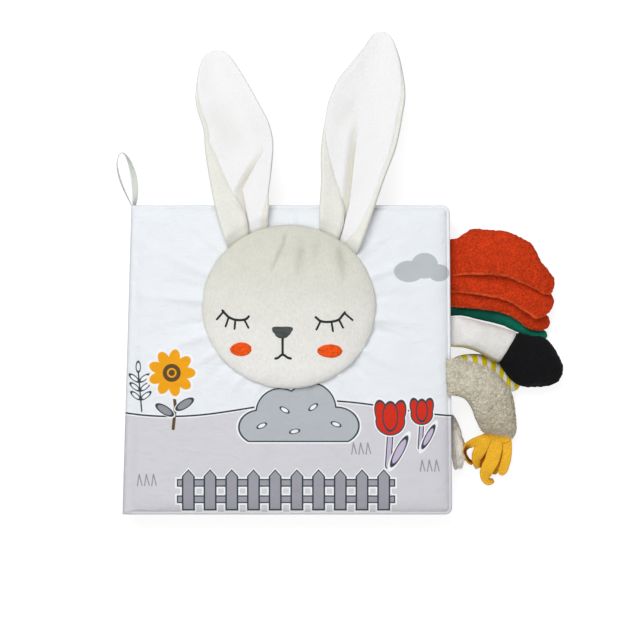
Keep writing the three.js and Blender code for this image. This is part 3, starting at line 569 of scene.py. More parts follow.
class Drawing:
    """Shapes on the cover's plane as distances in millimetres, below zero inside."""

    def __init__(self, shader):
        self.shader = shader
        self.math = shader.math
        self.x = shader.axis("X")
        self.y = shader.axis("Y")
        self.flat = shader.vector("MULTIPLY", shader.place, (1, 1, 0))
        self.ink = SKY

    def ellipse(self, centre, radii, turn=0.0):
        place = self.shader.vector("SUBTRACT", self.flat, (*centre, 0))
        if turn:
            rotated = self.shader.node("ShaderNodeVectorRotate", rotation_type="Z_AXIS")
            rotated.inputs["Angle"].default_value = math.radians(-turn)
            self.shader.put(rotated.inputs["Vector"], place)
            place = rotated.outputs[0]
        length = self.shader.vector("LENGTH", self.shader.vector("DIVIDE", place, (*radii, 1)))
        return self.math("MULTIPLY", self.math("SUBTRACT", length, 1.0), min(radii))

    def ellipses(self, *shapes):
        return self.union(*[self.ellipse(*shape) for shape in shapes])

    def stroke(self, *points):
        """The distance to the middle of a line through points."""
        vector = self.shader.vector
        made = []
        for (ax, ay), (bx, by) in zip(points, points[1:]):
            run = np.array([bx - ax, by - ay])
            place = vector("SUBTRACT", self.flat, (ax, ay, 0))
            share = vector("DOT_PRODUCT", place, (*(run / (run @ run)), 0))
            share = self.math("MULTIPLY", share, 1.0, clamp=True)
            foot = self.shader.node("ShaderNodeVectorMath", operation="SCALE")
            foot.inputs[0].default_value = (*run, 0)
            self.shader.put(foot.inputs["Scale"], share)
            made.append(vector("LENGTH", vector("SUBTRACT", place, foot.outputs[0])))
        return self.union(*made)

    def union(self, *distances):
        return functools.reduce(lambda a, b: self.math("MINIMUM", a, b), distances)

    def overlap(self, *distances):
        return functools.reduce(lambda a, b: self.math("MAXIMUM", a, b), distances)

    def box(self, low, high):
        sides = []
        for axis, start, end in zip((self.x, self.y), low, high):
            off = self.math("ABSOLUTE", self.math("SUBTRACT", axis, (start + end) / 2))
            sides.append(self.math("SUBTRACT", off, (end - start) / 2))
        return self.overlap(*sides)

    def fill(self, distance, colour, grow=0.0):
        """Paints where the distance is under a grown edge."""
        share = self.math("SUBTRACT", grow + PRINT_BORDER / 2, distance)
        share = self.math("MULTIPLY", share, 1 / PRINT_BORDER, clamp=True)
        self.ink = self.shader.mixed(share, self.ink, colour)

    def outline(self, distance, width, colour=INK):
        self.fill(self.math("ABSOLUTE", distance), colour, width / 2)

    def patch(self, distance, colour, halo=0.0, line=0.0):
        """A patch in a pale halo of its own, with a dark line along its edge."""
        if halo:
            self.fill(distance, HALO, halo)
        self.fill(distance, colour)
        if line:
            self.outline(distance, line)


HORIZON = {"middle": -34.0, "swing": 5.5, "run": 210.0, "shift": 0.9}


def landscape(drawing):
    """Sky over ground, with a dark line between them in a pale halo."""
    turn = drawing.math("MULTIPLY_ADD", drawing.x, math.tau / HORIZON["run"], HORIZON["shift"])
    height = drawing.math("MULTIPLY_ADD", drawing.math("SINE", turn), HORIZON["swing"], HORIZON["middle"])
    above = drawing.math("SUBTRACT", drawing.y, height)
    drawing.fill(above, GROUND)
    drawing.outline(above, 2.8, HALO)
    drawing.outline(above, 1.2)


# Centres and radii of the bush's rounds, and its leaves' centres and turns in degrees
BUSH = [((-20, -47), (15, 12)), ((-6, -37), (17, 17)), ((15, -35), (18, 19)), ((33, -46), (16, 13)),
        ((6, -50), (30, 10))]
BUSH_LEAVES = [((-19, -46), 24), ((-3, -35), -30), ((4, -50), 12), ((17, -33), 36), ((33, -45), -20)]
BUSH_LEAF = (3.4, 1.5)
BUSH_FOOT = -57.0


def bush(drawing):
    """A round bush with small leaves on it, halfway behind the ground's line."""
    crown = drawing.overlap(drawing.ellipses(*BUSH), drawing.math("SUBTRACT", BUSH_FOOT, drawing.y))
    drawing.patch(crown, BUSH_GREY, halo=1.5, line=1.0)
    for centre, turn in BUSH_LEAVES:
        drawing.patch(drawing.ellipse(centre, BUSH_LEAF, turn), HALO, line=0.6)


SUNFLOWER = (-82, -9)
PETALS = 9
PETAL_REACH = 10.4  # of a petal's middle from the flower's
SUNFLOWER_HEART = ((6.3, STEM_BROWN), (3.4, SUN_YELLOW), (2.2, STEM_BROWN))  # radii and colours


def sunflower(drawing):
    x, y = SUNFLOWER
    stem = drawing.stroke((x + 1, y - 8), (x + 2.5, y - 24), (x + 1, y - 39))
    drawing.fill(stem, STEM_BROWN, 1.1)
    for side in (-1, 1):
        leaf = drawing.ellipse((x + 2 + side * 7, y - 24 + side * 2), (6.6, 2.7), side * 32)
        drawing.patch(leaf, SOFT_INK, halo=0.8, line=0.8)
    petals = []
    for angle in circle_angles(PETALS):
        centre = (x + PETAL_REACH * math.cos(angle), y + PETAL_REACH * math.sin(angle))
        petals.append((centre, (6.2, 3.9), math.degrees(angle)))
    drawing.patch(drawing.ellipses(*petals), SUN_YELLOW, halo=1.3)
    for radius, colour in SUNFLOWER_HEART:
        drawing.fill(drawing.ellipse(SUNFLOWER, (radius, radius)), colour)


TULIPS = ((71, -43, 1.0), (93, -38, 0.75))  # places and sizes


def tulips(drawing):
    """Two red tulips with a long leaf each at the right, a big one and a small one."""
    for x, y, size in TULIPS:
        stem = drawing.stroke((x, y - 8 * size), (x - 1.5 * size, y - 31 * size))
        leaf = drawing.ellipse((x + 6.2 * size, y - 21 * size), (11 * size, 2.7 * size), 62)
        for shape, grow in ((stem, 1.9 * size), (leaf, 0.0)):
            drawing.fill(shape, HALO, grow + 1.2)
            drawing.fill(shape, LILAC, grow)
            drawing.outline(drawing.math("SUBTRACT", shape, grow), 0.8)
        rounds = [((x, y), (10 * size, 9.5 * size))]
        for side in (-1, 1):
            rounds.append(((x + side * 6.2 * size, y + 6 * size), (4.4 * size, 8.5 * size), -12 * side))
        cup = drawing.ellipses(*rounds)
        drawing.patch(cup, RED, halo=1.3, line=0.9)
        petal = drawing.ellipse((x, y + 3.5 * size), (5.2 * size, 10 * size))
        drawing.patch(petal, RED, line=0.9)


CLOUD = [((84, 62), (10.5, 7.5)), ((95, 66), (9.5, 9)), ((105, 61), (7.5, 6))]


def cloud(drawing):
    drawing.fill(drawing.ellipses(*CLOUD), CLOUD_GREY)


SPRIG_FOOT = np.array([-103.0, -36.0])
SPRIG_TOP = np.array([-105.5, -8.0])
SPRIG_LEAF_SHARES = (0.3, 0.52, 0.74)  # of the sprig's height


def sprig(drawing):
    """A thin sprig with pairs of leaves at the left edge."""
    drawing.fill(drawing.stroke(tuple(SPRIG_FOOT), tuple(SPRIG_TOP)), INK, 0.5)
    for share in SPRIG_LEAF_SHARES:
        for side in (-1, 1):
            middle = SPRIG_FOOT + (SPRIG_TOP - SPRIG_FOOT) * share + np.array([side * 3.6, 2.6])
            drawing.patch(drawing.ellipse(tuple(middle), (4.0, 1.5), 90 - side * 52), HALO, line=0.7)
    bud = drawing.ellipse(tuple(SPRIG_TOP + np.array([0, 3.2])), (1.6, 3.6))
    drawing.outline(bud, 0.7)


GRASS = ((50, -66), (98, -78), (-100, -88))
BLADE = ((0, 0), (1.2, 8), (3.2, 0.4))


def grass(drawing):
    for x, y in GRASS:
        for shift in (-6, -1, 4):
            blade = [(x + shift + px, y + py) for px, py in BLADE]
            drawing.fill(drawing.stroke(*blade), SOFT_INK, 0.4)


FENCE_LEFT, FENCE_RIGHT = -78.0, 74.0
FENCE_LOW, FENCE_HIGH = -105.0, -77.0
PICKET_PITCH = 15.2
PICKET_HALF_WIDTH = 4.0
PICKET_SLOPE = 1.1  # of its pointed top
RAILS = (-97.5, -86.0)
RAIL_HALF_HEIGHT = 2.3


def fence(drawing):
    """A picket fence across the ground, grey with a dark line round it in a pale halo."""
    subtract = functools.partial(drawing.math, "SUBTRACT")
    cell = drawing.math("WRAP", subtract(drawing.x, FENCE_LEFT), PICKET_PITCH, 0.0)
    side = drawing.math("ABSOLUTE", subtract(cell, PICKET_PITCH / 2))
    peak = drawing.math("ADD", drawing.y, drawing.math("MULTIPLY", side, PICKET_SLOPE))
    pickets = drawing.overlap(
        subtract(side, PICKET_HALF_WIDTH), subtract(peak, FENCE_HIGH), subtract(FENCE_LOW, drawing.y),
        subtract(FENCE_LEFT, drawing.x), subtract(drawing.x, FENCE_RIGHT),
    )
    rails = []
    for y in RAILS:
        rails.append(drawing.box((FENCE_LEFT, y - RAIL_HALF_HEIGHT), (FENCE_RIGHT, y + RAIL_HALF_HEIGHT)))
    drawing.patch(drawing.union(pickets, *rails), FENCE_GREY, halo=1.6)
    for rail in rails:
        drawing.outline(rail, 0.9)
    drawing.patch(pickets, FENCE_GREY, line=1.1)


def print_material(name, *motifs):
    shader = Shader(name, roughness=0.8, sheen=0.06)
    drawing = Drawing(shader)
    for motif in (landscape, *motifs):
        motif(drawing)
    shader.bump(shader.weave(0.5), 0.045)
    wrinkles = shader.noise(9, detail=3.0, stretch=(0.6, 1, 1), distortion=0.8)
    shader.bump(wrinkles, 1.0)
    # painted light and shade on the wrinkles: darker in their low places and lighter on their tops
    soft = shader.shaded(drawing.ink, wrinkles, 0.03)
    return shader.colour(shader.shaded(soft, shader.noise(30, detail=3.0), 0.03))


materials = {
    "front_print": print_material("front_print", sprig, bush, sunflower, tulips, cloud, grass, fence),
    "back_print": print_material("back_print", cloud, grass),
    "page": woven("page_cloth", colour_of(222, 223, 228)),
    "tape": woven("binding_tape", colour_of(217, 219, 224), pitch=0.9, depth=0.12),
    "ribbon": woven("ribbon", colour_of(244, 248, 242), pitch=0.4, depth=0.08),
    # The last colour of each ear plush is painted shade, for its creases
    "beige": ear_plush("beige_plush", colour_of(229, 229, 221), 0.13, colour_of(196, 196, 180)),
    "white": ear_plush("white_plush", colour_of(236, 236, 237), 0.04, colour_of(212, 209, 196)),
    "face": face_material(),
    "thread": thread("dark_thread", colour_of(38, 43, 45), (1, 1, 1), 0.4),
    "nose": thread("nose_thread", colour_of(70, 77, 74), (0.25, 1, 1), 0.7),
    "cheek": thread("cheek_thread", colour_of(232, 80, 4), (0.45, 1, 1), 0.75),
    "tail_white": plush("tail_white_plush", colour_of(226, 225, 222), shade=0.16, size=1.2, depth=0.4,
                        across=(colour_of(206, 192, 150), 0.76, 0.88)),
    # painted highlight along each lobe's lower rim, where the pile catches the light
    "red": plush("red_plush", colour_of(200, 55, 11), shade=0.95, size=1.4, depth=1.0, sheen=0.04,
                 cloudy=0.35, across=(colour_of(222, 84, 40), 0.86, 0.94)),
    "green": plush("green_velvet", colour_of(8, 94, 76), shade=0.35, size=1.0, depth=0.2, sheen=0.04,
                   run=(colour_of(12, 126, 100), 30, 62)),
    "black": plush("black_plush", colour_of(10, 11, 14), shade=0.95, size=1.3, depth=1.2, sheen=0.02),
    "tan": plush("curly_plush", colour_of(207, 200, 181), shade=0.85, size=1.5, depth=1.3, curl=0.8,
                 cloudy=0.25, run=(colour_of(218, 206, 181), 26, 60)),
    # its last colour is painted shade inside the curls, at the strips' edges and under other strips
    "felt": plush("yellow_felt", colour_of(242, 182, 44), shade=0.4, size=1.1, depth=0.4, sheen=0.04,
                  cloudy=0.3, inside=(colour_of(150, 74, 8), 0, 1)),
    "cream": plush("cream_fluff", colour_of(242, 236, 225), shade=0.2, size=1.2, depth=0.6),
    "striped": stripe_material(),
}


# Boards: covers and leaves with sewn edges

EDGE_SHARES = [0, 0.01, 0.03, 0.06, 0.1, 0.15, 0.19, 0.22, 0.26, 0.32, 0.4, 0.52, 0.66, 0.82, 1]
EDGE_BAND = 11.0  # width of the fine stretch of mesh along an edge
MESH_PITCH = 1.7  # of the rest of a board's mesh
ROLL = 1.15  # radius of the rolled seam at a cover's edge
GROOVE = 1.7  # place of the groove behind the rolled seam, in radii of its roll
ROLL_LIFT = 0.1  # of the roll over its seam, in radii too
PAD_WIDTH = 6.5  # over which padding rises from its seam
PAD_ROUNDNESS = 2.3
BODY_INSET = 7.7  # where a board's padding starts, from the spine's face
PADDING_RISE = (BODY_INSET - 1.5, BODY_INSET + 7)
TONGUE = 0.85  # half thickness of the binding strip
TONGUE_MARGIN = 10.0  # by which the thin binding strip is shorter at each end
TONGUE_NOSE = 1.36  # how fast the strip's edge rounds off
BINDING = HINGE_INSET - TONGUE  # where the strip starts, from the spine's face
LEAF_SWELL = 0.15
# Rise and length of a cloth's waves, and where they set in, from its edges
LEAF_WAVE = (0.28, 34)
LEAF_FLAT = (3, 12)
COVER_WAVE = (0.5, (42, 30, 42))
COVER_FLAT = (2, 14)
STRIP_WAVE = (0.12, (16, 5, 9))
UNDERSIDE_SHARE = 0.6  # of a leaf's waves on its underside
INNER_SHARE = 0.5  # of a cover's waves on its inner side
OUTER_CLOTH = 0.5  # thickness of an outer cloth
TABLE_GAP = 0.05  # the back cover lies flat this high over the table


def edge_steps(length):
    """Places from 0 to a length, close together near both ends."""
    band = np.array(EDGE_SHARES) * EDGE_BAND
    count = max(int((length - 2 * EDGE_BAND) / MESH_PITCH), 2)
    middle = np.linspace(EDGE_BAND, length - EDGE_BAND, count)
    return np.concatenate([band[:-1], middle, (length - band[::-1])[1:]])


def edge_distance(x, y):
    """How far a point lies inside the top, fore and bottom edges, with their round corners."""
    to_fore = fore_x(y) - x
    to_end = HALF_HEIGHT - np.abs(y)
    corner = CORNER - np.hypot(CORNER - to_fore, CORNER - to_end)
    return np.where((to_fore < CORNER) & (to_end < CORNER), corner, np.minimum(to_fore, to_end))


def corner_inset(y):
    left = np.clip(CORNER - (HALF_HEIGHT - np.abs(y)), 0, CORNER)
    return CORNER - np.sqrt(CORNER**2 - left**2)


def puffed(distance, rise, roll=0.0, width=PAD_WIDTH):
    """Height of padded cloth over its seam: a rolled edge, a groove, and the pad behind it."""
    share = np.clip((distance - GROOVE * roll) / width, 0, 1)
    pad = rise * (1 - (1 - share) ** PAD_ROUNDNESS) ** (1 / PAD_ROUNDNESS)
    if not roll:
        return pad
    round_edge = roll * np.sqrt(np.clip(1 - ((distance - roll) / roll) ** 2, 0, 1))
    return np.maximum(round_edge, pad) + ROLL_LIFT * roll


def board_plan(start, drawn=0.0):
    """Grid of x and y over a board, from a place inside the spine's face to the fore edge. Near both ends of
    the spine it is drawn back."""
    ys = edge_steps(2 * HALF_HEIGHT) - HALF_HEIGHT
    lefts = spine_x(ys) + start + drawn * (1 - smoothstep(2, TONGUE_MARGIN, HALF_HEIGHT - np.abs(ys)))
    rights = fore_x(ys) - corner_inset(ys)
    width = fore_x(0) - spine_x(0) - start
    places = edge_steps(width) / width
    x = lefts[:, None] + (rights - lefts)[:, None] * places
    return x, np.repeat(ys[:, None], len(places), axis=1)


def bound_board(rise):
    """A board that is thin where it is bound: its plan, the distance from its edges, how far its padding has
    risen, and its height over its seam."""
    x, y = board_plan(BINDING, BODY_INSET - BINDING)
    distance = edge_distance(x, y)
    padding = smoothstep(*PADDING_RISE, x - spine_x(y))
    return x, y, distance, padding, puffed(distance, 1.0) * (TONGUE + (rise - TONGUE) * padding)


def leaf(number):
    """A padded leaf, with a round edge where it is bound."""
    name = f"leaf_{number}"
    low, high = corners(f"{name}_back_fabric")[0][2], corners(f"{name}_front_fabric")[1][2]
    seam = (low + high) / 2
    x, y, distance, padding, height = bound_board((high - low) / 2 + LEAF_SWELL)
    inset = (x - spine_x(y)) / HINGE_INSET
    nose = np.sqrt(np.clip(1 - (1 - TONGUE_NOSE * inset) ** 2, 0, 1))
    height = height * np.where(inset < 1, nose, 1)
    height[:, 0] = 0
    soft = waves(in_plane(x, y), LEAF_WAVE, number * 7) * smoothstep(*LEAF_FLAT, distance) * padding
    top = np.stack([x, y, seam + height + soft], -1)
    bottom = np.stack([x, y, seam - height + soft * UNDERSIDE_SHARE], -1)
    made = piece(name, *pillow(top, bottom), materials["page"], "page_cloth")
    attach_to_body(made, name)
    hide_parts(f"{name}_back_fabric", f"{name}_front_fabric", f"{name}_wadding")


# Each fold's angle round the face, half width, length and height
FOLDS = [
    (176, 2.6, 34, 0.9), (168, 2.2, 22, -0.7), (158, 3.2, 30, 0.7), (190, 2.4, 26, -0.7),
    (199, 2.8, 30, 0.8), (212, 2.2, 18, 0.7), (222, 2.6, 15, -0.6), (236, 2.4, 14, 0.7),
    (250, 2.2, 12, 0.6), (285, 2.4, 12, -0.5), (306, 2.6, 16, 0.7), (318, 2.2, 18, -0.7),
    (330, 3.0, 24, 0.8), (345, 2.0, 20, -0.9), (352, 2.6, 26, 0.9), (6, 2.4, 22, -0.5),
    (20, 3.0, 26, 0.7), (36, 2.6, 20, 0.6), (88, 2.6, 12, 0.6), (97, 2.2, 12, -0.5),
    (140, 2.8, 22, 0.6), (128, 2.4, 16, -0.4),
]
FOLD_ROOT = (-6, 1)  # from the face's outline, over which the folds rise
FOLD_EDGE = (1.5, 7)  # from the cover's edges, over which they rise
FOLD_STRENGTH = 2.3


def radial_folds(x, y):
    """Soft folds that run out from the face where it is sewn on."""
    dx, dy = x - FACE_CENTRE[0], y - FACE_CENTRE[1]
    out = (np.hypot(dx / FACE_HALF[0], dy / FACE_HALF[1]) - 1) * FACE_HALF[0]
    angle = np.degrees(np.arctan2(dy, dx))
    height = np.zeros_like(x)
    for middle, width, length, rise in FOLDS:
        off = (angle - middle + 180) % 360 - 180
        lean = np.radians(off) * (FACE_HALF[0] + out)
        fade = (np.clip(out, 0, None) / length) ** 2
        height += rise * np.exp(-((lean / width) ** 2)) * np.exp(-fade)
    return height * smoothstep(*FOLD_ROOT, out)


def cover_soft(x, y, distance, seed):
    """Wide, low waves of the covers' cloth."""
    return waves(in_plane(x, y), COVER_WAVE, seed) * smoothstep(*COVER_FLAT, distance)


# The outer cloth's way round the spine: place inside the spine's face and height over the hinge's seam
WRAP = [(-0.3, -9.5), (-0.32, -6), (-0.3, -3), (-0.2, -1.2), (0.3, 0.3), (1.4, 1.4), (3.0, 1.9), (4.8, 2.05),
        (6.6, 2.4), (8.6, 3.0), (10.8, 3.55)]
WRAP_END, WRAP_RISE = WRAP[-1]
WRAP_STEP = 1.2  # from the end of the way round the spine to the first column of the board's own plan
WRAP_MERGE = 3  # place from which the way goes over into the board's own height
WRAP_ENDS = 5  # over which it rises from the book's ends
CROWN_RISE = (1, 14)  # from the edges, over which the cover's crown rises


def wrapped_cover(name, seam, up, rise, crown, material, seed, folds=0.0):
    """An outer cloth from halfway up the spine, round its corner and over the padding to the fore edge."""
    x, y = board_plan(WRAP_END + WRAP_STEP)
    distance = edge_distance(x, y)
    height = puffed(distance, rise, ROLL) + crown * smoothstep(*CROWN_RISE, distance)
    height = height + cover_soft(x, y, distance, seed)
    height = height + folds * radial_folds(x, y) * smoothstep(*FOLD_EDGE, distance)
    ys = y[:, :1]
    full = (rise + crown) * puffed(HALF_HEIGHT - np.abs(ys), 1.0, width=WRAP_ENDS)
    way, lift = curve_through(WRAP, 3)[:-1].T
    lift = lift / WRAP_RISE
    over = np.clip(lift, 0, None) * full + np.clip(lift, None, 0) * (rise + crown)
    over = over + (height[:, :1] - full) * smoothstep(WRAP_MERGE, WRAP_END, way)
    columns_x = np.concatenate([spine_x(ys) + way, x], axis=1)
    columns_y = np.repeat(ys, columns_x.shape[1], axis=1)
    columns_z = np.maximum(seam + up * np.concatenate([over, height], axis=1), TABLE_GAP)
    grid = np.stack([columns_x, columns_y, columns_z], -1)
    return piece(name, *cloth(grid[::up], OUTER_CLOTH), material, "cover_print")


def inner_cloth(name, seam, up, rise, seed):
    """The cloth on a cover's inner side, from the binding strip to the fore edge."""
    x, y, distance, padding, height = bound_board(rise)
    height = height + INNER_SHARE * cover_soft(x, y, distance, seed) * padding
    grid = np.stack([x, y, seam + up * height], -1)
    return piece(name, *cloth(grid[::up], OUTER_CLOTH), materials["page"], "page_cloth")


def hinge_point(inset, z):
    """A point inside the spine's face, halfway up the book."""
    point = HINGE_PLACE + SPINE_FORWARD * (inset - HINGE_INSET)
    return (point[0] * MM, point[1] * MM, z * MM)


BEND_START, BEND_END = 0.2, 6.5  # places from the spine's face; their points are worked out but not used
FRONT_SEAM_LIFT = 0.9  # of the front cover's seam over its hinge
FRONT_RISE, FRONT_CROWN = 3.0, 1.2
BACK_SEAM = 3.0
BACK_RISE, BACK_INNER_RISE = 2.9, 3.0


def covers():
    front_low, front_high = corners("front_cover_inner_fabric")[0][2], COVER_HIGH[2]
    seam = HINGE_PLACE[2] + FRONT_SEAM_LIFT
    top = wrapped_cover("front_cover_cloth", seam, 1, FRONT_RISE, FRONT_CROWN, materials["front_print"], 11,
                        FOLD_STRENGTH)
    start, end = hinge_point(BEND_START, front_high), hinge_point(BEND_END, front_high)
    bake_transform(top)
    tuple(start)
    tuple(end)
    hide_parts("front_cover_outer_fabric", "front_cover_wadding")
    lining = inner_cloth("front_cover_lining", seam, -1, seam - front_low, 12)
    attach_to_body(lining, "front_cover")
    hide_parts("front_cover_inner_fabric")
    bottom = wrapped_cover("back_cover_cloth", BACK_SEAM, -1, BACK_RISE, 0.0, materials["back_print"], 13)
    hinge_point(BEND_END, 0)
    hinge_point(BEND_START, 0)
    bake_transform(bottom)
    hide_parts("back_cover_outer_fabric", "back_cover_wadding")
    inside = inner_cloth("back_cover_lining", BACK_SEAM, 1, BACK_INNER_RISE, 14)
    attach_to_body(inside, "back_cover")
    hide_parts("back_cover_inner_fabric")


SPINE_CLOTH = 0.6
SPINE_END_GAP = 0.6  # from each end of the spine to its strips
STRIP_ROWS, STRIP_COLUMNS = 120, 16


def upright_strip(name, node, inset, material, slot, seed):
    """A strip of cloth that stands along the spine."""
    low, high = corners(node)
    zs = np.linspace(low[2], high[2], STRIP_COLUMNS)
    ys = np.linspace(-HALF_HEIGHT + SPINE_END_GAP, HALF_HEIGHT - SPINE_END_GAP, STRIP_ROWS)
    z, y = np.meshgrid(zs, ys)
    soft = waves(in_plane(y, z), STRIP_WAVE, seed)
    grid = np.stack([spine_x(y) + inset + soft, y, z], -1)[::-1]
    made = piece(name, *cloth(grid, SPINE_CLOTH), materials[material], slot)
    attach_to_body(made, "spine")
    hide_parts(node)


# Face

FACE_ROUNDNESS = 2.6
FACE_SHOULDER = 0.6
FACE_TUCK = 0.985  # share of its outline to which its underside reaches
FACE_SEAM = 1.004  # share of its outline to which its seam stands out
# Creases from the crown of the head: start, end, depth and half width
CREASES = [
    ((-2.0, 90.0), (-4.6, 76.0), 1.9, 1.0),
    ((-4.2, 80.0), (-12.5, 61.0), 1.8, 1.1),
    ((9.6, 82.0), (5.8, 57.0), 1.5, 3.4),
    ((34.8, 81.0), (39.5, 54.0), 1.5, 3.2),
    ((20.5, 86.0), (17.0, 68.0), 0.8, 3.0),
]
CREASE_LIP = 0.4  # share of a crease's depth by which the cloth beside it stands up
LIP_PLACE, LIP_WIDTH, LIP_REACH = 2.2, 1.6, 4  # in half widths of the crease
CREASE_ROOT = 0.3  # share of a crease's depth at its start
CREASE_FULL = 0.35  # share of its length where it is full
CREASE_RUNOUT = 0.6
CREASE_END = (0.93, 1)  # shares of the outline over which creases end
FACE_SMOOTH = (0.75, 1)  # and over which the face's waves end
GATHERS = (0.5, 5.5)  # rise and length of the small gathers along the face's seam
GATHERS_START, GATHERS_END = (0.8, 0.97), (0.985, 1)  # shares of the outline
FACE_WAVE = (0.5, 24)
WOBBLE = (0.004, 9)  # of the face's outline
FACE_RINGS = {"start": 0.02, "turn": 0.86, "count": 58, "last_count": 22, "power": 1.8}
DEEPEST = 1.8  # depth at which a crease shows its full shade


def crease_depth(x, y):
    depth = np.zeros_like(x)
    for start, end, deep, width in CREASES:
        run_x, run_y = unit(np.subtract(end, start))
        away, share = from_line(np.stack([x, y], -1), start, end)
        side = (x - start[0]) * run_y - (y - start[1]) * run_x
        lip = np.exp(-(((side - LIP_PLACE * width) / (LIP_WIDTH * width)) ** 2))
        lip = lip * np.exp(-((away / (LIP_REACH * width)) ** 2))
        fade = CREASE_ROOT + (1 - CREASE_ROOT) * smoothstep(0, CREASE_FULL, share)
        fade = fade * (1 - share) ** CREASE_RUNOUT
        depth += fade * deep * (np.exp(-((away / width) ** 2)) - CREASE_LIP * lip)
    return depth


def face_height(x, y):
    """The face's surface over its flat underside, at places in the part's frame."""
    dx, dy = x - FACE_CENTRE[0], y - FACE_CENTRE[1]
    share = np.clip(np.hypot(dx / FACE_HALF[0], dy / FACE_HALF[1]), 0, 1)
    rise = FACE_HIGH[2] - FACE_LOW[2] - FACE_SIDE
    dome = FACE_SIDE + rise * (1 - share**FACE_ROUNDNESS) ** FACE_SHOULDER
    angle = np.arctan2(dy, dx)
    ring = in_plane(np.cos(angle) * FACE_HALF[0], np.sin(angle) * FACE_HALF[1])
    gathers = waves(ring, GATHERS, 3, 1) * smoothstep(*GATHERS_START, share)
    gathers = gathers * (1 - smoothstep(*GATHERS_END, share))
    soft = waves(in_plane(x, y), FACE_WAVE, 5, 2) * (1 - smoothstep(*FACE_SMOOTH, share))
    return dome + gathers + soft - crease_depth(x, y) * (1 - smoothstep(*CREASE_END, share))


def on_face(points, lift):
    x, y = points[..., 0], points[..., 1]
    return np.stack([x, y, FACE_LOW[2] + face_height(x, y) + lift], -1)


def drawn_in(ring, share, height):
    """A ring of the face at a height, drawn in towards the face's centre."""
    made = FACE_CENTRE + (ring - FACE_CENTRE) * share
    made[..., 2] = height
    return made


def face():
    shares = closing_in(**FACE_RINGS)
    share, angle = np.meshgrid(shares[::-1], circle_angles(200), indexing="ij")
    ring = in_plane(np.cos(angle), np.sin(angle))
    wobble = 1 + waves(ring * FACE_HALF[0], WOBBLE, 8, 1) * share**6
    top = on_face(FACE_CENTRE + FACE_HALF * ring * (share * wobble)[..., None], 0)
    tucked = drawn_in(top[:1], FACE_TUCK, FACE_LOW[2])
    seam = drawn_in(top[:1], FACE_SEAM, FACE_LOW[2] + FACE_SIDE / 2)
    rings = np.concatenate([tucked, seam, top])
    made = piece("face", *loft(rings), materials["face"], "beige_plush")
    # painted shade in the creases, by their depth
    painted_shade = np.clip(crease_depth(rings[..., 0], rings[..., 1]) / DEEPEST, 0, 1)
    keep_value(made, "inside", [*painted_shade.ravel(), 0, 0])
    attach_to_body(made, "front_cover")
    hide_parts("face_plush", "face_stuffing")


# Embroidery. Points are shares of the face's half width from its centre.

THREAD_LIFT = 0.25
STITCH_PITCH = 0.9
LINE_WIDTH = 1.65
LASH_WIDTH = 1.4
EYE_SHARES = {
    "left": {
        "lid": [(-0.77, -0.036), (-0.727, -0.085), (-0.681, -0.126), (-0.596, -0.155), (-0.498, -0.148),
                (-0.45, -0.106)],
        "lashes": [[(-0.75, -0.06), (-0.834, -0.155)], [(-0.688, -0.12), (-0.729, -0.238)],
                   [(-0.612, -0.15), (-0.623, -0.267)], [(-0.51, -0.15), (-0.457, -0.253)]],
    },
    "right": {
        "lid": [(0.301, -0.116), (0.37, -0.168), (0.468, -0.177), (0.566, -0.155), (0.614, -0.106),
                (0.651, -0.057)],
        "lashes": [[(0.367, -0.166), (0.314, -0.273)], [(0.49, -0.174), (0.51, -0.294)],
                   [(0.575, -0.148), (0.629, -0.252)], [(0.638, -0.075), (0.741, -0.162)]],
    },
}
MOUTH_SHARES = [
    [(-0.07, -0.33), (-0.07, -0.43), (-0.07, -0.562)],
    [(-0.165, -0.6), (-0.125, -0.59), (-0.07, -0.553), (-0.01, -0.588), (0.035, -0.6)],
]
NOSE_SHARES = (-0.073, -0.298)
# The nose's outline round its centre, in millimetres: the middle of its top, and its right side
NOSE_TOP = (0, 4.0)
NOSE_STEPS = 6  # between two points of its outline
NOSE_SIDE = [(3.6, 4.1), (6.5, 3.7), (7.3, 2.1), (5.7, -0.7), (4.0, -2.8), (1.7, -4.0)]
CHEEK_SHARES = {"left": (-0.552, -0.492), "right": (0.471, -0.512)}
CHEEK_SHAPES = {"left": (7.6, 5.0, 2), "right": (8.8, 4.9, -2)}  # half width, half height and turn in degrees
CHEEK_POINT = 0.16  # by how much a cheek narrows towards its left end
# Shares of a satin patch's outline and heights over the face, from its edge to its middle
PATCH_RISE = [(0.97, -0.3), (1, 0.05), (0.97, 0.3), (0.9, 0.42), (0.75, 0.5), (0.6, 0.5), (0.45, 0.5),
              (0.3, 0.5), (0.15, 0.5), (0.04, 0.5)]
PATCH_WOBBLE = 0.22
PATCH_GRAIN = 0.9  # size of the steps in a patch's edge
LINE_STEPS, RIB_STEPS = 14, 10  # of a line between two of its points, and round it
TAPER_LENGTH, TAPER_LEAST = 0.35, 0.35  # of a line's ends, in its widths, and their narrowest share
STITCH_DEPTH = 0.1  # share by which a line's width changes at each stitch
RIB_BASE, RIB_RISE = 0.2, 1.6  # of a line's section


def stitched_line(shares, width):
    """A row of satin stitches: a low rounded rib whose edges dip into the face."""
    centres = curve_through(FACE_CENTRE[:2] + np.array(shares) * FACE_HALF[0], LINE_STEPS)
    along = unit(np.gradient(centres, axis=0))
    side = np.stack([-along[:, 1], along[:, 0]], -1)
    reach = reach_along(centres)
    from_end = np.minimum(reach, reach[-1] - reach)
    taper = np.sqrt(np.clip(from_end / (width * TAPER_LENGTH), TAPER_LEAST, 1))
    stitch = 1 + STITCH_DEPTH * np.sin(math.tau * reach / STITCH_PITCH)
    rings = []
    for angle in circle_angles(RIB_STEPS):
        rib = on_face(centres + side * (width / 2 * taper * stitch * math.cos(angle))[:, None], 0)
        rib[:, 2] += THREAD_LIFT * (RIB_BASE + math.sin(angle)) * RIB_RISE * taper
        rings.append(rib)
    return loft(np.stack(rings, axis=1))


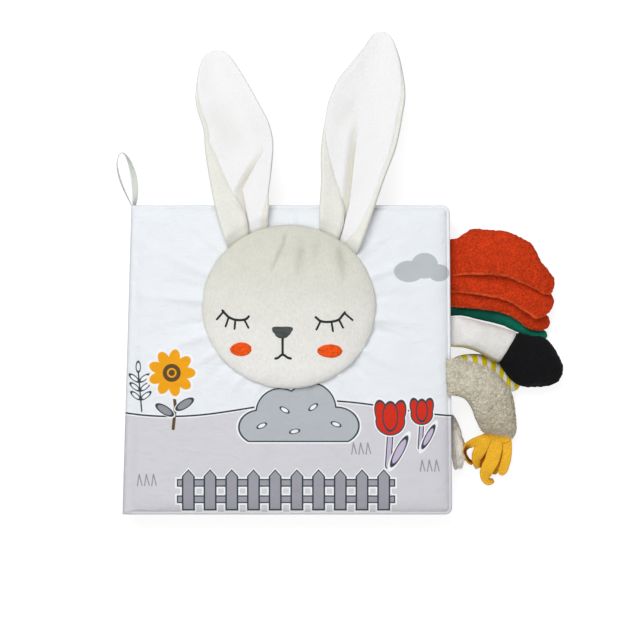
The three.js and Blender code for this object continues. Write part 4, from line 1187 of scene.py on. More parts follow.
def satin_patch(centre_shares, outline):
    """A filled patch of satin stitches: a low dome with an uneven edge, within a closed outline."""
    centre = FACE_CENTRE[:2] + np.array(centre_shares) * FACE_HALF[0]
    rings = []
    for share, lift in PATCH_RISE:
        flat = centre + share * outline
        flat[:, 0] += PATCH_WOBBLE * noise(in_plane(0 * flat[:, 0], flat[:, 1]), PATCH_GRAIN, 6)
        rings.append(on_face(flat, lift))
    return loft(np.stack(rings))


def nose_outline():
    """A smooth closed outline, the same on both sides."""
    left = [(-x, y) for x, y in reversed(NOSE_SIDE)]
    points = [*left[3:], NOSE_TOP, *NOSE_SIDE, *left[:3]]
    beyond = 2 * NOSE_STEPS
    return curve_through([*points[-2:], *points, *points[:3]], NOSE_STEPS)[beyond:-beyond]


def cheek_outline(half_width, half_height, turn):
    """An oval whose left end is a little pointed."""
    angles = circle_angles(72)
    x = half_width * np.cos(angles)
    y = half_height * np.sin(angles) * (1 - CHEEK_POINT * ((1 - np.cos(angles)) / 2) ** 2)
    cosine, sine = math.cos(math.radians(turn)), math.sin(math.radians(turn))
    return np.stack([x * cosine - y * sine, x * sine + y * cosine], -1)


def stitched(name, skin, material, slot):
    made = piece(name, *skin, materials[material], slot)
    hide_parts(f"{name}_embroidery")
    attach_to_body(made, "front_cover")


def embroidery():
    for side, eye in EYE_SHARES.items():
        lines = [stitched_line(eye["lid"], LINE_WIDTH)]
        lines += [stitched_line(lash, LASH_WIDTH) for lash in eye["lashes"]]
        stitched(f"{side}_eye", joined(lines), "thread", "thread")
        patch = satin_patch(CHEEK_SHARES[side], cheek_outline(*CHEEK_SHAPES[side]))
        stitched(f"{side}_cheek", patch, "cheek", "cheek_thread")
    stitched("nose", satin_patch(NOSE_SHARES, nose_outline()), "nose", "nose_thread")
    mouth = joined([stitched_line(line, LINE_WIDTH) for line in MOUTH_SHARES])
    stitched("mouth", mouth, "thread", "thread")


# Ears. Their edges are pixels of the photograph, from the root to the tip. The lining's edges are shares of
# the ear's length from its middle line, at steps of a tenth of it, up to where they follow the ear's edge.
# A crease is places and shares of the length, and a hollow is two pixels and its half width; both are dents
# with painted shade in them.

EAR_PLANE = 38
EARS = {
    "left": {
        "length": 132.4, "lean": 10.25, "root": (-27.9, 86.8),
        "left": [(229, 246), (228.2, 243.3), (217.1, 212.5), (211, 187.8), (205.3, 153.3), (203.6, 131.1),
                 (197.4, 111.3), (195.4, 96.5), (197.9, 74.3), (201.4, 60.8), (207.3, 52.8), (215.9, 49.6)],
        "right": [(268, 246), (268.9, 222.3), (269.6, 207.5), (268.9, 195.2), (271.4, 173), (273.5, 147),
                  (271.9, 133.5), (267.7, 120), (257.8, 101.5), (246.7, 81.7), (234.2, 61.8), (225.5, 52.2),
                  (215.9, 49.6)],
        "lining_left": [0.0, -0.005, 0.02, 0.054, 0.08, 0.105, 0.16, 0.2],
        "lining_right": [0.05, 0.09, 0.135, 0.166, 0.22, 0.25],
        "crease": [(0.0, 0.012), (0.02, 0.009), (0.246, 0.003), (0.33, 0.07), (0.424, 0.15), (1.0, 0.2)],
        "crease_fade": (0.3, 0.48),
        "hollow": ((232, 141), (218, 118), 9),
        "band": {"left": 4.0},
    },
    "right": {
        "length": 150, "lean": -12.4, "root": (33, 84),
        "left": [(319, 240), (318.3, 227.3), (318.8, 207.5), (320.7, 182.9), (320.9, 148.3), (325.2, 118.7),
                 (328.6, 101.5), (338, 80.5), (350.3, 64.5), (363.9, 47.2), (373.2, 34.8), (382.4, 31)],
        "right": [(352, 254), (362.7, 234.7), (373.8, 207.5), (384.9, 177.9), (396, 148.3), (402.1, 118.7),
                  (405.3, 94.1), (401.6, 66.9), (396, 47.2), (390, 35.4), (382.4, 31)],
        "lining_left": [-0.01, -0.018, 0.012, 0.072, 0.119, 0.16, 0.2],
        "lining_right": [0.033, 0.075, 0.108, 0.132, 0.15, 0.168, 0.2],
        "crease": [(0.0, 0.016), (0.18, 0.02), (0.46, -0.01), (0.7, -0.03), (1.0, -0.03)],
        "crease_fade": (0.38, 0.62),
        "hollow": ((343, 118), (352, 108), 6),
        "band": {"right": 4.2},
    },
}
LINING_STEPS = 10  # of a lining's edge over the ear's length
LINING_MARGIN = 1.2  # by which the lining stays inside the ear's edge, where no wider band is given
BAND_END = (0.62, 0.92)  # places between which a band ends
EAR_THICKNESS = 5.2
EAR_CLOTH = 1.1
EAR_CUP = 4.2  # by which the ear's edges stand over its middle
EAR_SAG = 4.0  # by which its tip lies lower than its root
EAR_EDGE = 3.0  # width over which the ear's edge rounds off
EAR_TUCK = 0.982  # share of the face's outline under which the ears are sewn in
EAR_PINCH = 0.42  # share of its thickness that an ear keeps where it is sewn in
EAR_PINCH_REACH = 10.0
EAR_BEND = (-6, 10)  # from an ear's fold line; these points are worked out but not used
FLAP_STEPS = 9
BACK_STEPS = 11  # from the middle of an ear's back to each edge
LINING_CLOTH = 0.8
LINING_COUNTS = (10, 9, 4, 12)  # of columns across the lining, from its left edge to its right one
LINING_WIDE = 9  # width from which the lining is wide enough for its crease
CREASE_DEPTH = 2.2
CREASE_SOFT = 6.5  # width of a crease's gentle side
CREASE_SHARP = 0.8
CREASE_STAND = 0.9  # by which the cloth on its sharp side stands up
HOLLOW_DEPTH = 0.8
HOLLOW_SHADE = 0.22
EAR_WAVE, LINING_WAVE = (0.3, 14), (0.5, 13)  # rise and length
EAR_STRETCH, LINING_STRETCH = (1, 0.5, 0), (1, 0.6, 0)  # of those waves
FLAP_TUCK, FLAP_TUCK_REACH = 0.55, 0.9  # share by which a flap's edge is thinner, and over which width
LINING_PUFF = 0.8  # by which the lining stands out towards the tip
PUFF_START, PUFF_EDGE = (0.35, 0.8), (0, 5)  # where that sets in: shares of the length, and from its edges
LINING_UNDER = 1.0  # by which the lining reaches under the flaps
LINING_INSIDE = 0.5  # least gap from there to the ear's edge
LINING_SEAT = 0.7  # of the outer cloth's thickness by which the lining lies under the flaps' height
STAND_FADE = 6
LEAST_HALF, LEAST_LINING, LEAST_SIDE, LEAST_FLAP = 0.4, 0.1, 0.3, 0.2  # least widths, at the ear's tip
EDGE_STEPS, LINING_EDGE_STEPS = 10, 8  # between two points of an edge
EAR_FOOT = 0.35  # share of the length over which the rows take the shape of the face's edge
CUP_LEAST, CUP_FULL = 4, 16  # half widths between which the cup deepens
EAR_PLACES = {"start": 0, "turn": 0.9, "count": 84, "last_count": 26}
LINING_PLACES = {"start": 0, "turn": 0.9, "count": 96, "last_count": 20, "last": 0.96}


def ear_frame(ear):
    """An ear's own directions across and up, in the part's plane."""
    lean = math.radians(ear["lean"])
    return np.array([math.cos(lean), math.sin(lean)]), np.array([-math.sin(lean), math.cos(lean)])


def ear_edges(ear, place):
    """How far an ear's edge and its lining's lie from its middle line at a place, left and right."""
    side, up = ear_frame(ear)
    found = []
    for name, sign in (("left", -1), ("right", 1)):
        curve = curve_through(from_photo(*np.transpose(ear[name]), EAR_PLANE), EDGE_STEPS)
        curve = curve - np.array(ear["root"])
        places = curve @ up
        outer = max(np.interp(place, places / places[-1], sign * (curve @ side)), LEAST_HALF)
        shares = np.array(ear[f"lining_{name}"])[:, None]
        lining = curve_through(shares, LINING_EDGE_STEPS)[:, 0] * ear["length"]
        steps = np.arange(len(lining)) / (LINING_EDGE_STEPS * LINING_STEPS)
        band = ear["band"].get(name, LINING_MARGIN) - LINING_MARGIN
        margin = LINING_MARGIN + band * (1 - smoothstep(*BAND_END, place))
        found.append((outer, min(np.interp(place, steps, lining), max(outer - margin, LEAST_LINING))))
    return found


def ear_start(ear, x):
    """How far up the ear's own plan the face's edge crosses its columns."""
    root = (np.array(ear["root"]) - FACE_CENTRE[:2]) / FACE_HALF[:2]
    side, up = (direction / FACE_HALF[:2] for direction in ear_frame(ear))
    foot = root + np.multiply.outer(x, side)
    square, linear, rest = up @ up, foot @ up, (foot**2).sum(-1) - EAR_TUCK**2
    return (-linear + np.sqrt(np.maximum(linear**2 - square * rest, 0))) / square


def ear_row(ear, x, half, place):
    """Where columns of an ear lie at a place: their run up it, their middle height, and how full they are."""
    start = ear_start(ear, x)
    run = place * ear["length"] + start * (1 - smoothstep(0, EAR_FOOT, place))
    full = smoothstep(0, EAR_PINCH_REACH, run - start)
    across = np.clip(np.abs(x) / max(half, CUP_LEAST), 0, 1)
    cup = EAR_CUP * np.clip(half / CUP_FULL, 0, 1) * full
    fullness = EAR_PINCH + (1 - EAR_PINCH) * full
    middle = FACE_LOW[2] + fullness * EAR_THICKNESS / 2 + cup * across**2 - EAR_SAG * place**2
    return run, middle, fullness


def ear_to_part(ear, points):
    """Points of an ear's own plan, turned by its lean and put at its root."""
    flat = np.array(ear["root"]) + points[..., :2] @ np.stack(ear_frame(ear))
    return np.concatenate([flat, points[..., 2:]], -1)


def ear_sections(ear, places, inset):
    """Sections of the folded outer cloth: over the left flap, round the back and over the right flap."""
    flap = np.sin(np.linspace(0, math.pi / 2, FLAP_STEPS))
    bend = np.linspace(0, math.pi / 2, BACK_STEPS)
    signs = np.pad(-np.ones(2 * BACK_STEPS - 3), FLAP_STEPS, constant_values=1)
    rows = []
    for place in places:
        (outer_left, lining_left), (outer_right, lining_right) = ear_edges(ear, place)
        left, right = max(outer_left - inset, LEAST_SIDE), max(outer_right - inset, LEAST_SIDE)
        fold_left, fold_right = min(lining_left, left - LEAST_FLAP), min(lining_right, right - LEAST_FLAP)
        xs = np.concatenate([
            -(fold_left + (left - fold_left) * flap), -left * np.cos(bend)[1:], right * np.sin(bend)[1:-1],
            (fold_right + (right - fold_right) * flap)[::-1],
        ])
        run, middle, fullness = ear_row(ear, xs, (left + right) / 2 + inset, place)
        edge = np.where(xs < 0, left + xs, right - xs)
        swell = np.sqrt(np.clip(1 - (1 - np.clip(edge / EAR_EDGE, 0, 1)) ** 2, 0, 1))
        from_fold = np.abs(np.where(xs < 0, xs + fold_left, xs - fold_right))
        tuck = np.where(signs > 0, 1 - FLAP_TUCK * np.exp(-from_fold / FLAP_TUCK_REACH), 1)
        height = (EAR_THICKNESS / 2 - inset) * swell * signs * tuck * fullness
        rows.append(np.stack([xs, run, middle + height], -1))
    rows = np.array(rows)
    rows[..., 2] += waves(rows * EAR_STRETCH, EAR_WAVE, 23, 2)
    return rows


def ear_shell(ear):
    """The outer cloth as one closed shell with an open front."""
    places = closing_in(**EAR_PLACES)
    outer = ear_sections(ear, places, 0.0)
    inner = ear_sections(ear, places, EAR_CLOTH)
    rings = np.concatenate([outer, inner[:, ::-1]], axis=1)
    rows, columns = rings.shape[:2]
    faces = quads(rows, columns, ring=True, flip=True)
    for first, step in ((0, 1), ((rows - 1) * columns, -1)):
        for c in range(columns // 2 - 1):
            face = (first + c, first + c + 1, first + columns - 2 - c, first + columns - 1 - c)
            faces.append(face[::step])
    return ear_to_part(ear, rings.reshape(-1, 3)), faces


def lining_columns(left, right, crease):
    """Places across the lining, close together at its crease."""
    if left + right <= LINING_WIDE:
        return np.linspace(-left, right, sum(LINING_COUNTS) + 1)
    crease = min(max(crease, -left + CREASE_SOFT + 1), right - CREASE_SHARP - 1)
    ends = [-left, max(crease - CREASE_SOFT, -left + 0.5), crease, crease + CREASE_SHARP, right]
    stretches = zip(ends, ends[1:], LINING_COUNTS)
    return np.concatenate([*[np.linspace(a, b, count, endpoint=False) for a, b, count in stretches], [right]])


def ear_lining(ear):
    """The white lining, with a crease that is gentle on its left side and stands up on its right, and how
    much painted shade each of its points takes in its crease and its hollow."""
    places = closing_in(**LINING_PLACES)
    crease_places, crease_shares = np.array(ear["crease"]).T
    rows, painted_shade = [], []
    for place in places:
        (outer_left, left), (outer_right, right) = ear_edges(ear, place)
        left = min(left + LINING_UNDER, outer_left - LINING_INSIDE)
        right = max(min(right + LINING_UNDER, outer_right - LINING_INSIDE), LEAST_FLAP)
        left = max(left, LEAST_FLAP - right)
        crease = np.interp(place, crease_places, crease_shares) * ear["length"]
        fade = 1 - smoothstep(*ear["crease_fade"], place)
        xs = lining_columns(left, right, crease)
        run, middle, fullness = ear_row(ear, xs, (outer_left + outer_right) / 2, place)
        sharp = smoothstep(crease, crease + CREASE_SHARP, xs)
        dip = smoothstep(crease - CREASE_SOFT, crease, xs) * (1 - sharp)
        stand = sharp * np.exp(-np.clip(xs - crease, 0, None) / STAND_FADE)
        lift = (CREASE_STAND * stand - CREASE_DEPTH * dip) * fade
        puff = LINING_PUFF * smoothstep(*PUFF_START, place)
        puff = puff * smoothstep(*PUFF_EDGE, np.minimum(xs + left, right - xs))
        top = middle + fullness * (EAR_THICKNESS / 2 - EAR_CLOTH * LINING_SEAT + lift) + puff
        rows.append(np.stack([xs, run, top], -1))
        # painted shade in the crease's dip
        painted_shade.append(dip * fade)
    grid = np.array(rows)
    grid[..., 2] += waves(grid * LINING_STRETCH, LINING_WAVE, 21, 2)
    *ends, width = ear["hollow"]
    away, _ = from_line(ear_to_part(ear, grid)[..., :2], *[from_photo(*pixel, EAR_PLANE) for pixel in ends])
    dent = np.exp(-((away / width) ** 2))
    grid[..., 2] -= HOLLOW_DEPTH * dent
    points, faces = cloth(grid, LINING_CLOTH)
    # painted shade: the crease's, and the hollow's by HOLLOW_SHADE
    return ear_to_part(ear, points), faces, np.tile((np.array(painted_shade) + HOLLOW_SHADE * dent).ravel(), 2)


def ears():
    for side, ear in EARS.items():
        x, y = joint(f"{side}_ear_fold")["pos_m"][:2]
        shell = piece(f"{side}_ear", *ear_shell(ear), materials["beige"], "beige_plush")
        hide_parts(f"{side}_ear_root", f"{side}_ear_plush")
        points, faces, painted_shade = ear_lining(ear)
        lining = piece(f"{side}_ear_inside", points, faces, materials["white"], "white_plush")
        # painted shade in the lining's crease and hollow
        keep_value(lining, "inside", painted_shade)
        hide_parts(f"{side}_ear_lining", f"{side}_ear_crinkle_film")
        start, end = ((x, y + reach * MM, FACE_LOW[2] * MM) for reach in EAR_BEND)
        for made in (shell, lining):
            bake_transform(made)
            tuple(start)
            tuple(end)


# Tails: each is skinned over chords between its two outlines in the photograph, from its root to its tip. The
# heights come from the solids under each chord.

CHORD_SHARES = (0.2, 0.35, 0.5, 0.65, 0.8)  # where heights are taken along a chord
SMOOTHED_ROWS = 7
SECTION_POWER = 2.15  # of a tail's oval sections
SWIRL_SIZE, CLUMP_SIZE = 1.4, 3.5  # of the pile's swirls and clumps, in its own sizes
LOOP_TOP, LOOP_DEPTH = 0.8, 3  # of curly pile
BLEND = (-2, 8)  # from a tail's hinge out; these points are worked out but not used
OUTWARD = (1, 0, 0)  # direction of the tails' run, apart from the cream one's
SEAM_PINCH = 0.07
RED_LOBE = {"cloth": ("red", "red_plush"), "fur": {"size": 1.6, "depth": 0.38, "clump": 0.3}}
TAILS = {
    "red_lobe_1": {
        **RED_LOBE, "nodes": ["red_tail_lobe_1"], "bodies": ["red_lobe_2", "red_lobe_1"], "seed": 41,
        "height": 24, "root": 3, "tip": 9,
        "upper": [(450.3, 239.2), (452.5, 238.7), (457, 238), (465, 233), (474, 229), (491, 230),
                  (506, 231.4), (520, 237), (531, 243.7), (536, 251), (541, 261), (553, 276), (555, 282),
                  (554, 288)],
        "lower": [(450.3, 276), (457, 276), (468, 275), (485, 275), (505, 277), (522, 283.5), (536, 290),
                  (542, 293), (548, 295), (552, 292)],
    },
    "red_lobe_2": {
        **RED_LOBE, "nodes": ["red_tail_lobe_2"], "bodies": ["red_lobe_3", "red_lobe_2"], "seed": 42,
        "height": 18, "tip": 7,
        "upper": [(448, 262), (470, 258), (495, 258), (515, 264), (532, 274), (545, 288), (552, 295),
                  (554.5, 302)],
        "lower": [(448, 292.5), (471, 294), (491, 297), (509, 302), (522, 310), (530, 315), (537, 319),
                  (545.5, 315), (552, 309)],
    },
    "red_lobe_3": {
        **RED_LOBE, "nodes": ["red_tail_lobe_3"], "bodies": ["leaf_2", "red_lobe_3"], "seed": 43,
        "height": 12, "tip": 7,
        "upper": [(448, 284), (475, 284), (500, 288), (520, 297), (537, 308), (547, 315), (550.5, 322)],
        "lower": [(448, 306.5), (471, 308.5), (493.5, 311), (508, 315), (520, 322), (526, 327), (533, 330),
                  (541, 331), (548, 328)],
    },
    "green_lobe": {
        "cloth": ("green", "green_cloth"), "nodes": ["green_tail_lobe"], "bodies": ["leaf_2"], "seed": 44,
        "fur": {"size": 1.4, "depth": 0.08, "clump": 0.12}, "height": 7, "tip": 6,
        "upper": [(448, 300), (475, 302), (500, 307), (520, 316), (537, 326), (546, 331), (548, 336)],
        "lower": [(448, 316.5), (461, 315.6), (481, 320), (502, 325), (517, 332), (530, 336), (540, 339),
                  (546, 339.5)],
    },
    "white_tail": {
        "cloth": ("tail_white", "white_plush"), "nodes": ["white_tail_plush", "white_tail_stuffing"],
        "beside": ["white_tail_black_end"], "bodies": ["leaf_1", "white_tail"], "seed": 31,
        "fur": {"size": 1.5, "depth": 0.12, "clump": 0.15}, "fill": 0.9, "height": 15, "seam": -1,
        "upper": [(448, 316.6), (461, 317), (478, 321), (497, 326), (510, 330), (517, 332)],
        "lower": [(448, 346.5), (465, 348), (477, 352), (491, 360), (498.6, 363)],
    },
    "white_tail_end": {
        "cloth": ("black", "black_plush"), "nodes": ["white_tail_black_end"], "beside": ["white_tail_plush"],
        "bodies": ["white_tail"], "seed": 32, "fur": {"size": 1.5, "depth": 0.35, "clump": 0.25}, "fill": 0.9,
        "height": 13, "seam": 0, "tip": 10,
        "upper": [(517, 332), (528, 335.5), (542, 337), (551, 344), (557, 353), (562, 364), (562.5, 371),
                  (560, 379), (553, 384.5), (543, 386.5)],
        "lower": [(498.6, 363), (504, 371), (512, 381), (522, 386), (532, 387), (540, 387)],
    },
    "striped_tail_cloth": {
        "cloth": ("striped", "striped_cloth"), "nodes": ["striped_tail"], "bodies": ["leaf_3"], "seed": 45,
        "fur": {"size": 1.5, "depth": 0.03, "clump": 0.1}, "height": 10, "tip": 5,
        "upper": [(448, 361), (458, 356), (466, 354.3), (479, 354), (489, 357), (500, 362), (510, 371),
                  (517, 380), (520.5, 386)],
        "lower": [(448, 372), (470, 372), (485, 378), (497, 385), (505, 390), (513, 391.5), (518, 389.5)],
    },
    "beige_tail": {
        "cloth": ("tan", "tan_plush"), "nodes": ["beige_tail_plush", "beige_tail_stuffing"],
        "bodies": ["front_cover", "beige_tail"], "seed": 46,
        "fur": {"size": 1.8, "depth": 0.34, "clump": 0.12, "curl": 0.4}, "fill": 0.9, "fineness": (140, 120),
        "height": 24, "root": 2.5, "tip": 7, "seat": ((0, 5, 13), (30.8, 29.8), (34.0, 36.0)),
        "upper": [(445.3, 358.7), (455, 357.7), (461, 358.5), (475, 362.5), (491, 368.7), (502.7, 380),
                  (510.4, 389.8), (514.2, 401), (516.6, 416.6), (517.6, 432), (513, 440.5), (504.6, 442.4)],
        "lower": [(447, 396.5), (454, 395.5), (463.5, 398.4), (470.2, 406), (476, 419.4), (481.7, 431),
                  (487.4, 434.3), (496, 439.5)],
    },
    "cream_tail_fluff": {
        "cloth": ("cream", "cream_plush"), "nodes": ["cream_tail"], "bodies": ["back_cover", "cream_tail"],
        "seed": 47, "fur": {"size": 1.6, "depth": 0.35, "clump": 0.6, "stretch": (1, 0.3, 1)}, "fill": 0.4,
        "height": 8, "root": 3, "tip": 5, "along": (0, -1, 0),
        "upper": [(453, 415.2), (456.4, 419.4), (460.2, 428), (461.4, 434.7), (464, 441.4), (464, 453),
                  (462.5, 461.5), (458.7, 468), (456, 470.5)],
        "lower": [(451.5, 415.8), (451.2, 425), (451.2, 435), (451.2, 445), (451.4, 455), (452, 463),
                  (454, 469.5)],
    },
}


def even_places(pixels, height, count):
    """Places at equal steps along a smooth curve through pixels."""
    curve = curve_through(from_photo(*np.transpose(pixels), height), EDGE_STEPS)
    reach = reach_along(curve)
    steps = np.linspace(0, reach[-1], count)
    return np.stack([np.interp(steps, reach, values) for values in curve.T], -1)


def solid_tree(nodes):
    points, faces = [], []
    for node in nodes:
        mesh = frame["nodes"][node].data
        faces += [tuple(v + len(points) for v in polygon.vertices) for polygon in mesh.polygons]
        points += [vertex.co.copy() for vertex in mesh.vertices]
    return BVHTree.FromPolygons(points, faces)


def heights_under(tree, starts, ends):
    """The lowest and highest points of solids along each chord, or its neighbours' where it misses them."""
    found = np.full((len(starts), 2), np.nan)
    for i, (start, end) in enumerate(zip(starts, ends)):
        for share in CHORD_SHARES:
            x, y = (start + (end - start) * share) * MM
            low = tree.ray_cast((x, y, -1), (0, 0, 1))[0]
            high = tree.ray_cast((x, y, 1), (0, 0, -1))[0]
            if low and high:
                found[i] = np.fmin(found[i][0], low.z / MM), np.fmax(found[i][1], high.z / MM)
    rows = np.arange(len(found))
    valid = ~np.isnan(found[:, 0])
    filled = [np.interp(rows, rows[valid], found[valid, k]) for k in (0, 1)]
    box = np.ones(SMOOTHED_ROWS) / SMOOTHED_ROWS
    padded = [np.pad(values, SMOOTHED_ROWS // 2, mode="edge") for values in filled]
    return [np.convolve(values, box, mode="valid") for values in padded]


def round_end(share):
    return np.sqrt(np.clip(1 - (1 - np.clip(share, 0, 1)) ** 2, 0.02, 1))


def seated(run, knots, values, heights):
    """Heights that follow set values up to the last knot, and the solids' from there."""
    last = np.interp(knots[-1], run, heights)
    return np.where(run < knots[-1], np.interp(run, knots, [*values, last]), heights)


def tail_skin(shape):
    """A tail's rings, its run up to each, and where a ring's points lie between its two outlines."""
    rows, steps = shape.get("fineness", (96, 84))
    upper, lower = (even_places(shape[side], shape["height"], rows) for side in ("upper", "lower"))
    middle = (upper + lower) / 2
    lows, highs = heights_under(solid_tree(shape["nodes"] + shape.get("beside", [])), upper, lower)
    run = reach_along(middle)
    if "seat" in shape:
        knots, seat_lows, seat_highs = shape["seat"]
        lows, highs = seated(run, knots, seat_lows, lows), seated(run, knots, seat_highs, highs)
    swell, pinch = np.ones(rows), np.ones(rows)
    if "tip" in shape:
        swell *= round_end((run[-1] - run) / shape["tip"])
    if "root" in shape:
        swell *= round_end(run / shape["root"])
    if "seam" in shape:
        pinch -= SEAM_PINCH * np.exp(-((run - run[shape["seam"]]) ** 2))
    across, over = oval(steps, 2 / SECTION_POWER)
    reach = ((lower - upper) / 2 * pinch[:, None])[:, None] * across[None, :, None]
    heights = (lows + highs)[:, None] / 2 + ((highs - lows) / 2 * swell * pinch)[:, None] * over
    return np.concatenate([middle[:, None] + reach, heights[..., None]], -1), run, across


def furred(made, seed, size, depth, clump, stretch=(1, 1, 1), curl=0.0):
    """Moves each point along its normal: fine tufts, and clumps of several. Curly pile has loops instead."""
    points, normals = mesh_arrays(made)
    stretched = points * np.array(stretch)
    if curl:
        swirl = np.stack([noise(stretched, size * SWIRL_SIZE, seed + k) for k in (20, 21, 22)], -1)
        tufts = LOOP_TOP - LOOP_DEPTH * np.abs(layered(stretched + curl * swirl, size, seed, 2))
    else:
        tufts = layered(stretched, size, seed, 2)
    clumps = layered(stretched, size * CLUMP_SIZE, seed + 9, 2)
    moved = points + normals * (depth * tufts + clump * clumps)[:, None]
    made.data.vertices.foreach_set("co", (moved * MM).astype(np.float32).ravel())
    made.data.update()


def attach(made, bodies, along):
    """A piece rides on one body. With two, it is only baked in place, and the stretch from their hinge is
    worked out but not used.
    """
    if len(bodies) == 1:
        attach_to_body(made, bodies[0])
        return
    place = np.array(joint(f"{bodies[1]}_lift")["pos_m"])
    start, end = (tuple(place + np.array(along) * reach * MM) for reach in BLEND)
    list(bodies)
    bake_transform(made)
    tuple(start)
    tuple(end)


TUFT_COUNT = 260
TUFT_LENGTH = (2.5, 4.5)
TUFT_RADII = 0.5 * np.array([1, 1, 0.8, 0.5, 0.12])
TUFT_SEAT = 0.4  # by which a tuft starts inside the pile
TUFT_DROOP = np.array([-0.8, -1.5, -1.0])
TUFT_LOWEST = 0.6
TUFT_SPREAD = 0.3
TUFT_MESS = 0.12
TUFT_FACING = (-0.3, -0.4)  # least x and z of the normals where tufts grow
TUFT_SIDES = 6


def tufts(body):
    """Long fine tufts that hang from the cream tail along its fall."""
    points, normals = mesh_arrays(body)
    random = np.random.default_rng(5)
    low = points[:, 1].min() + TUFT_LENGTH[1]
    facing = (normals[:, 0] > TUFT_FACING[0]) & (normals[:, 2] > TUFT_FACING[1])
    open_side = np.flatnonzero(facing & (points[:, 1] > low))
    angles = circle_angles(TUFT_SIDES)
    circle = np.stack([np.cos(angles), 0 * angles, np.sin(angles)], -1)
    shares = np.linspace(0, 1, len(TUFT_RADII))[:, None]
    parts = []
    for index in random.choice(open_side, TUFT_COUNT, replace=False):
        length = random.uniform(*TUFT_LENGTH)
        fall = normals[index] * TUFT_SPREAD + np.array([0, -1, 0]) + random.normal(0, TUFT_MESS, 3)
        centres = points[index] - normals[index] * TUFT_SEAT + shares * length * unit(fall)
        centres = centres + shares**2 * TUFT_DROOP
        centres[:, 2] = np.maximum(centres[:, 2], TUFT_LOWEST)
        parts.append(loft(centres[:, None] + circle * TUFT_RADII[:, None, None]))
    made = piece("cream_tail_tufts", *joined(parts), materials["cream"], "cream_plush")
    attach(made, TAILS["cream_tail_fluff"]["bodies"], TAILS["cream_tail_fluff"]["along"])


def tails():
    for name, shape in TAILS.items():
        rings, run, across = tail_skin(shape)
        material, slot = shape["cloth"]
        made = piece(name, *loft(rings), materials[material], slot)
        keep_value(made, "run", [*np.repeat(run, len(across)), run[0], run[-1]])
        keep_value(made, "across", [*np.tile(across, len(run)), 0, 0])
        furred(made, shape["seed"], **shape["fur"])
        attach(made, shape["bodies"], shape.get("along", OUTWARD))
        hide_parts(*shape["nodes"])
        shape.get("fill", 0.6)
        if name == "cream_tail_fluff":
            tufts(made)


# Tassel: yellow felt cut into strips that curl. Each row of a strip is a pixel of the photograph, its height,
# a tilt in degrees about the strip's run, and half the strip's width.

FELT = 1.7
STRIPS = {
    "curl_left": [
        (489, 437, 11.5, 0, 3.4), (482, 439.5, 12.3, -6, 3.3), (474, 442.5, 12.5, -20, 3.2),
        (467.5, 446, 11.5, -45, 3.4), (464.6, 451, 9.5, -62, 3.4), (465.4, 456, 7.5, -68, 3.3),
        (468.4, 460.6, 5.6, -65, 3.0), (472, 463, 4.4, -50, 1.8),
    ],
    "curl_middle": [
        (488, 436, 11.4, 0, 3.6), (483.4, 444, 11.8, -5, 4.4), (479.4, 451, 11.3, -12, 4.6),
        (477, 457.5, 10, -22, 4.1), (476.6, 463, 8.2, -30, 3.0), (477.4, 468, 6.4, -30, 1.5),
    ],
    "under": [
        (489, 445, 8.0, 0, 2.2), (485, 453, 7.4, 0, 3.2), (481.4, 461, 6.6, 0, 3.0),
        (479.2, 467, 5.6, 0, 1.2),
    ],
    "short": [
        (502, 440, 8.2, 0, 3.0), (501, 451, 7.6, 0, 3.0), (498.6, 460, 7.2, 0, 2.9),
        (496.2, 467, 6.4, 0, 2.8), (494.6, 471.5, 5.8, 0, 2.4), (493.8, 474, 5.4, 0, 1.2),
    ],
    "long": [
        (494.6, 436, 10.8, 0, 4.8), (495.2, 446, 10.7, 0, 5.2), (494, 453, 10.5, 0, 5.3),
        (491.8, 460.5, 10.1, 0, 5.2), (488, 468, 9.2, 0, 4.9), (485.6, 474.5, 7.8, -4, 4.2),
        (486.4, 479.4, 6.4, -16, 3.3), (489.4, 481.4, 5.2, -34, 2.8), (493.4, 480.3, 4.3, -42, 1.7),
    ],
    "right": [
        (506, 437, 9.4, 0, 3.6), (507, 447, 9.2, 0, 3.6), (506.5, 457, 8.6, 0, 3.5),
        (504.2, 466, 7.5, 0, 3.5), (502.2, 471.5, 6.6, 0, 3.1), (501.2, 475, 6, 0, 1.6),
    ],
}
SHADED = {"under": 0.95, "short": 0.55}  # how dark the strips are that lie in the shade of others
TASSEL_ROOT = [(510, 437.5, 9.4, 0, 2.6), (503, 438.6, 9.9, 0, 3.2), (495.5, 436.8, 10.4, 0, 3.2),
               (489, 434.4, 10.9, 0, 3.0), (485.4, 432.4, 11.2, 0, 2.4)]
ROOT_THICKNESS = 2.8
TASSEL_FALL = (-0.164, -0.986, 0)
CURL_TILTS = (25, 60)  # between which a tilted strip takes painted shade on its inside
# painted shade along a strip's edges, between strips
EDGE_SHADE = 0.25


def swept_strip(rows, thickness, dark=0.0):
    """A strip along rows, and how much painted shade each of its points takes: inside a curl, at an edge, and
    where other strips shade it.
    """
    rows = np.array(rows, float)
    centres = np.column_stack([from_photo(*rows[:, :3].T), rows[:, 2]])
    centres = curve_through(centres, 8)
    tilts, halves = curve_through(rows[:, 3:], 8).T
    across, over = oval(24, 0.5)
    rings, inside = [], []
    for centre, run, tilt, half in zip(centres, unit(np.gradient(centres, axis=0)), tilts, halves):
        side = turned(unit(np.cross(run, (0, 0, 1))), run, tilt)
        up = np.cross(side, run)
        rings.append(centre + np.outer(across * half, side) + np.outer(over * thickness / 2, up))
        curl = smoothstep(*CURL_TILTS, -tilt) * (over > 0) * (across < 0.75)
        edge = EDGE_SHADE * (np.abs(across) > 0.93) * (over < 0.75)
        inside.append(np.maximum(dark, np.maximum(curl, edge)))
    return loft(np.array(rings)), [*np.ravel(inside), 0, 0]


